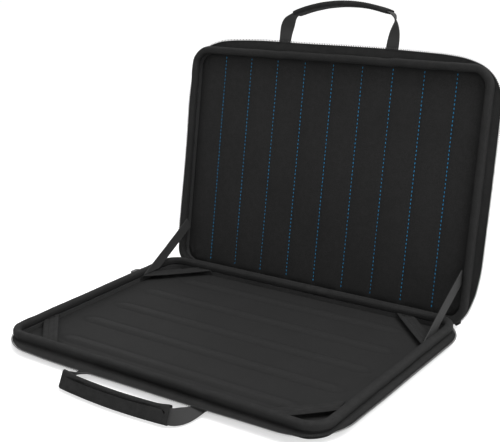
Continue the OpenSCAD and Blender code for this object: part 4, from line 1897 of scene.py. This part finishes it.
@dataclass
class Handle:
    """Webbing handle with a padded sleeve, drawn on the base half."""

    name: str
    place: Matrix
    strap_w: float = 14.0
    strap_t: float = 1.4
    sleeve_w: float = 17.0
    sleeve_t: float = 5.0
    leg_steps: int = 34
    run_steps: int = 40
    leg_out: float = 16.0
    late: float = 2.0
    waist: float = 1.0
    flare: float = 0.0

    @property
    def wall(self) -> Vector:
        """Where the webbing leaves the shell's wall, in the middle."""
        return Vector((0, -CASE.rim_d / 2 - CASE.shell_out - 0.3, CASE.handle_z))

    def leg(self, side: int) -> list[Station]:
        """Stations of one leg, from the case to the sleeve.

        Args:
            side: -1 on the left and 1 on the right.

        Returns:
            The stations.
        """
        start = self.wall + Vector((side * CASE.handle_x, 0, 0))
        end, back = self.tip(side)
        points = [start, start + Vector((0, -self.leg_out, 0)), end + back, end]
        stations = []
        for i in range(self.leg_steps):
            t = i / self.leg_steps
            turn = math.radians(90 * math.sin(math.radians(90 * t)) ** self.late)
            spot, ahead = bezier(points, t)
            width = Vector((-side * math.cos(turn), 0, 0)) + self.upright * math.sin(turn)
            stations.append(Station(spot, ahead, width))
        return stations

    @property
    def upright(self) -> Vector:
        """Width direction of the sleeve."""
        raise NotImplementedError

    def run(self) -> list[Station]:
        """Stations along the sleeve, from left to right."""
        raise NotImplementedError

    def tip(self, side: int) -> tuple[Vector, Vector]:
        """Middle of one end of the sleeve, and the way back from it along the webbing."""
        raise NotImplementedError

    def swell(self, share: float) -> float:
        """How full the sleeve is at a share of its length."""
        ends = bump_at(share, 0, 0.03) + bump_at(share, 1, 0.03)
        return 1 + 0.1 * math.sin(math.pi * share) - 0.12 * ends

    def sleeve_wear(self, co: Vector) -> float:
        """Rubbed all over by the hand."""
        return 0.55 + 0.3 * wobble(co.x, co.y, co.z, 12.0, 1.0)

    def build(self) -> None:
        """Makes the webbing, the sleeve and their stitches."""
        run = self.run()
        back = [Station(s.at, -s.ahead, s.across) for s in reversed(self.leg(1))]
        stations = [*self.leg(-1), *run, *back]
        section = rounded_section(self.strap_t, self.strap_w, 0.6, 2)
        bm = loft(stations, [section] * len(stations))
        Piece(
            f"{self.name}_webbing", WEBBING, "webbing", self.name, (f"{self.name}_strap",),
            self.place, lambda co: 0.15,
        ).make(bm)
        self.build_sleeve(run)
        self.build_stitches(stations, run)

    def build_sleeve(self, run: Sequence[Station]) -> None:
        """Makes the folded cover, open at both ends.

        Args:
            run: The stations along it.
        """
        sections = []
        for i in range(len(run)):
            share = i / (len(run) - 1)
            ends = bump_at(share, 0.0, 0.07) + bump_at(share, 1.0, 0.07)
            breadth = self.sleeve_w * (self.waist + (1 - self.waist) * ends)
            points = rounded_section(self.sleeve_t * self.swell(share), breadth, 2.2)
            ripple = 0.12 * wobble(i * 3.0, 0, 0, 11.0, 9.0)
            sections.append([(x + ripple, y + self.flare * ends) for x, y in points])
        bm = loft(run, sections)
        for cap in [face for face in bm.faces if len(face.verts) > 4]:
            for thickness, depth in ((0.9, 0.0), (0.02, -5.0)):
                bmesh.ops.inset_region(bm, faces=[cap], thickness=thickness, depth=depth)
        Piece(
            f"{self.name}_sleeve_cover", HANDLE_CLOTH, "sleeve_fabric", self.name, (f"{self.name}_sleeve",),
            self.place, self.sleeve_wear,
        ).make(bm)

    def build_stitches(self, stations: Sequence[Station], run: Sequence[Station]) -> None:
        """Makes the sleeve's closing seam and the tacks on the webbing.

        Args:
            stations: All of the webbing's stations.
            run: The stations along the sleeve.
        """
        places = []
        for face in (-1, 1):
            spots = []
            for i in range(len(run)):
                full = self.swell(i / (len(run) - 1))
                off = Vector((face * self.sleeve_t * full / 2, -self.sleeve_w / 2 + 3.0, 0))
                spots.append((run[i].frame @ off, run[i].frame.to_3x3() @ Vector((face, 0, 0))))
            for (spot, up), (after, _) in zip(spots, spots[1:]):
                places.append(facing((spot + after) / 2, after - spot, up))
        for index in (2, -3):
            station = stations[index]
            up = station.frame.to_3x3() @ Vector((1, 0, 0))
            if up.z < 0:
                up = -up
            middle = station.at + up * (self.strap_t / 2 + 0.12)
            places += bar_tack(middle, station.across, up, 11.0, 1.4)
        bm = sew(Stitch(2.1, 0.5, 0.4), places)
        Piece(f"{self.name}_stitching", DARK_THREAD, "", self.name, place=self.place).make(bm)


@dataclass
class BaseHandle(Handle):
    """Base handle, lying out over the floor in front of the case."""

    reach: float = 37.8
    tilt: float = 24.0
    shift: float = -3.0
    sleeve_len: float = 118.5
    bow: float = 3.2
    waist: float = 0.92
    flare: float = 0.8

    @property
    def upright(self) -> Vector:
        """Width direction of the sleeve."""
        return Vector((0, math.sin(math.radians(self.tilt)), math.cos(math.radians(self.tilt))))

    def tip(self, side: int) -> tuple[Vector, Vector]:
        """Middle of one end of the sleeve, and the way back from it along the webbing.

        Args:
            side: -1 on the left and 1 on the right.

        Returns:
            The two of them.
        """
        turn = math.radians(self.tilt)
        z = 0.3 + math.cos(turn) * self.sleeve_w / 2 + math.sin(turn) * self.sleeve_t / 2
        end = Vector((self.shift + side * self.sleeve_len / 2, -CASE.rim_d / 2 - self.reach, z))
        return end, Vector((side * 8, 0, 0))

    def run(self) -> list[Station]:
        """Stations along the sleeve, from left to right."""
        left, right = self.tip(-1)[0], self.tip(1)[0]
        stations = []
        for i in range(self.run_steps + 1):
            share = i / self.run_steps
            bow = Vector((0, -self.bow * math.sin(math.pi * share), 0))
            stations.append(Station(left.lerp(right, share) + bow, right - left, self.upright))
        return stations


@dataclass
class LidHandle(Handle):
    """Lid handle, standing off the lid's free edge with an arched sleeve."""

    reach: float = 46.0
    arch: float = 9.0
    sleeve_len: float = 108.0
    shift: float = 3.0
    skew: float = 2.7
    leg_out: float = 24.0
    late: float = 3.0

    @property
    def upright(self) -> Vector:
        """Width direction of the sleeve."""
        return -UP

    @property
    def radius(self) -> float:
        """Radius of the arch."""
        return ((self.sleeve_len / 2) ** 2 + self.arch**2) / (2 * self.arch)

    def skewed(self, x: float, y: float) -> Vector:
        """Turns a direction by the handle's skew.

        Args:
            x: Its part along the lid's edge.
            y: Its part towards the hinge.

        Returns:
            The turned direction.
        """
        return Matrix.Rotation(-math.radians(self.skew), 3, "Z") @ Vector((x, y, 0))

    def on_arch(self, angle: float) -> Vector:
        """Point of the arch at an angle from its middle.

        Args:
            angle: The angle in radians.

        Returns:
            The point.
        """
        foot = Vector((self.shift, -CASE.rim_d / 2 - self.reach, CASE.handle_z))
        return foot + self.skewed(
            self.radius * math.sin(angle), self.radius - self.arch - self.radius * math.cos(angle),
        )

    @property
    def half_angle(self) -> float:
        """Half the arch's angle."""
        return math.asin(self.sleeve_len / 2 / self.radius)

    def run(self) -> list[Station]:
        """Stations along the sleeve, from left to right."""
        stations = []
        for i in range(self.run_steps + 1):
            angle = self.half_angle * (2 * i / self.run_steps - 1)
            ahead = self.skewed(math.cos(angle), math.sin(angle))
            stations.append(Station(self.on_arch(angle), ahead, self.upright))
        return stations

    def tip(self, side: int) -> tuple[Vector, Vector]:
        """Middle of one end of the sleeve, and the way back from it along the webbing."""
        back = 12 * self.skewed(side * math.cos(self.half_angle), math.sin(self.half_angle))
        return self.on_arch(side * self.half_angle), back


# ---- studio ----


@dataclass
class Studio:
    """Pale floor, white surroundings, soft lamps and the photograph's camera."""

    floor_size: float = 30.0
    eye: Point = (0.5194, -0.6770, 0.3832)
    azimuth: float = 36.129
    elevation: float = 17.286
    roll: float = -1.628
    lens: float = 70.87
    sensor: float = 36.0
    ambient: float = 0.44
    floor_shade: float = 0.86
    floor_glow: float = 0.6

    def backdrop(self) -> None:
        """Whitens what the camera, gloss and glass see; plain ambient light otherwise."""
        world = bpy.data.worlds.new("studio")
        bpy.context.scene.world = world
        desk = NodeDesk(world, "Background")
        desk.shader.inputs["Color"].default_value = (1, 1, 1, 1)
        path = desk.tree.nodes.new("ShaderNodeLightPath")
        seen = desk.math("MAXIMUM", path.outputs["Is Camera Ray"], path.outputs["Is Glossy Ray"])
        seen = desk.math("MAXIMUM", seen, path.outputs["Is Transmission Ray"])
        strength = desk.math("ADD", desk.math("MULTIPLY", seen, 1 - self.ambient), self.ambient)
        desk.link(strength, desk.shader.inputs["Strength"])

    def floor(self) -> None:
        """Lays the floor."""
        bm = bmesh.new()
        bmesh.ops.create_grid(bm, x_segments=1, y_segments=1, size=self.floor_size / 2)
        mesh = bpy.data.meshes.new("floor")
        bm.to_mesh(mesh)
        bm.free()
        material = bpy.data.materials.new("floor_paper")
        desk = NodeDesk(material)
        desk.shader.inputs["Base Color"].default_value = (*[self.floor_shade] * 3, 1)
        desk.shader.inputs["Roughness"].default_value = 0.9
        desk.shader.inputs["Specular IOR Level"].default_value = 0.1
        desk.shader.inputs["Emission Color"].default_value = (1, 1, 1, 1)
        path = desk.tree.nodes.new("ShaderNodeLightPath")
        glow = desk.math("MULTIPLY", path.outputs["Is Camera Ray"], self.floor_glow)
        desk.link(glow, desk.shader.inputs["Emission Strength"])
        mesh.materials.append(material)
        floor = bpy.data.objects.new("floor", mesh)
        bpy.context.scene.collection.objects.link(floor)

    def lamp(self, name: str, at: Point, aim: Point, size: float, watts: float) -> None:
        """Hangs a soft lamp.

        Args:
            name: The lamp's name.
            at: Where it hangs, in metres.
            aim: What it points at.
            size: Its width.
            watts: Its power.
        """
        data = bpy.data.lights.new(name, "AREA")
        data.size = size
        data.energy = watts
        lamp = bpy.data.objects.new(name, data)
        lamp.location = at
        lamp.rotation_euler = (Vector(aim) - Vector(at)).to_track_quat("-Z", "Y").to_euler()
        bpy.context.scene.collection.objects.link(lamp)

    def camera(self) -> None:
        """Sets up the camera at the photograph's angle."""
        azimuth, elevation, roll = (math.radians(a) for a in (self.azimuth, self.elevation, self.roll))
        back = outside_of(azimuth) * math.cos(elevation) + UP * math.sin(elevation)
        right = UP.cross(back).normalized()
        up = back.cross(right)
        turned_right = right * math.cos(roll) + up * math.sin(roll)
        turned_up = up * math.cos(roll) - right * math.sin(roll)
        data = bpy.data.cameras.new("camera")
        data.lens = self.lens
        data.sensor_width = self.sensor
        camera = bpy.data.objects.new("camera", data)
        turn = Matrix((turned_right, turned_up, back)).transposed().to_4x4()
        camera.matrix_world = Matrix.Translation(self.eye) @ turn
        bpy.context.scene.collection.objects.link(camera)
        bpy.context.scene.camera = camera

    def build(self) -> None:
        """Sets up everything that isn't the object."""
        bpy.context.scene.view_settings.view_transform = "Standard"
        self.backdrop()
        self.floor()
        self.lamp("overhead", (0.8, 0.12, 1.85), (0, 0, 0), 1.5, 33)
        self.lamp("side_fill", (1.9, -1.1, 0.9), (0, 0.1, 0.1), 1.4, 8)
        self.camera()


def dress_hidden_pieces() -> None:
    """Gives the foam and the filler cords, which stay as the CAD made them, their finish."""
    for name in ("base_foam", "lid_foam", "base_rim_cord", "lid_rim_cord"):
        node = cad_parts[name]
        node.data.materials.clear()
        node.data.materials.append(FOAM.material())


def main() -> None:
    """Builds the case, one sub-assembly after another, and the studio round it."""
    logging.basicConfig(level=logging.INFO, format="%(name)s %(message)s", stream=sys.stdout)
    Studio().build()
    for half in Half:
        MouldedShell(half).build()
        RimBinding(half).build()
        SideLining(half).build()
        ZipHalf(half).build()
    BasePanel().build()
    LidPanel().build()
    for side_y, row in ((-1, "front"), (1, "back")):
        for side_x, column in ((-1, "left"), (1, "right")):
            CornerElastic(f"elastic_{row}_{column}", side_x, side_y).build()
    HingeCloth().build()
    for side in (-1, 1):
        SideStay(side).build()
    BaseHandle("base_handle", Half.BASE.place).build()
    LidHandle("lid_handle", Half.LID.place).build()
    ZipSlider().build()
    dress_hidden_pieces()


if __name__ == "__main__":
    main()
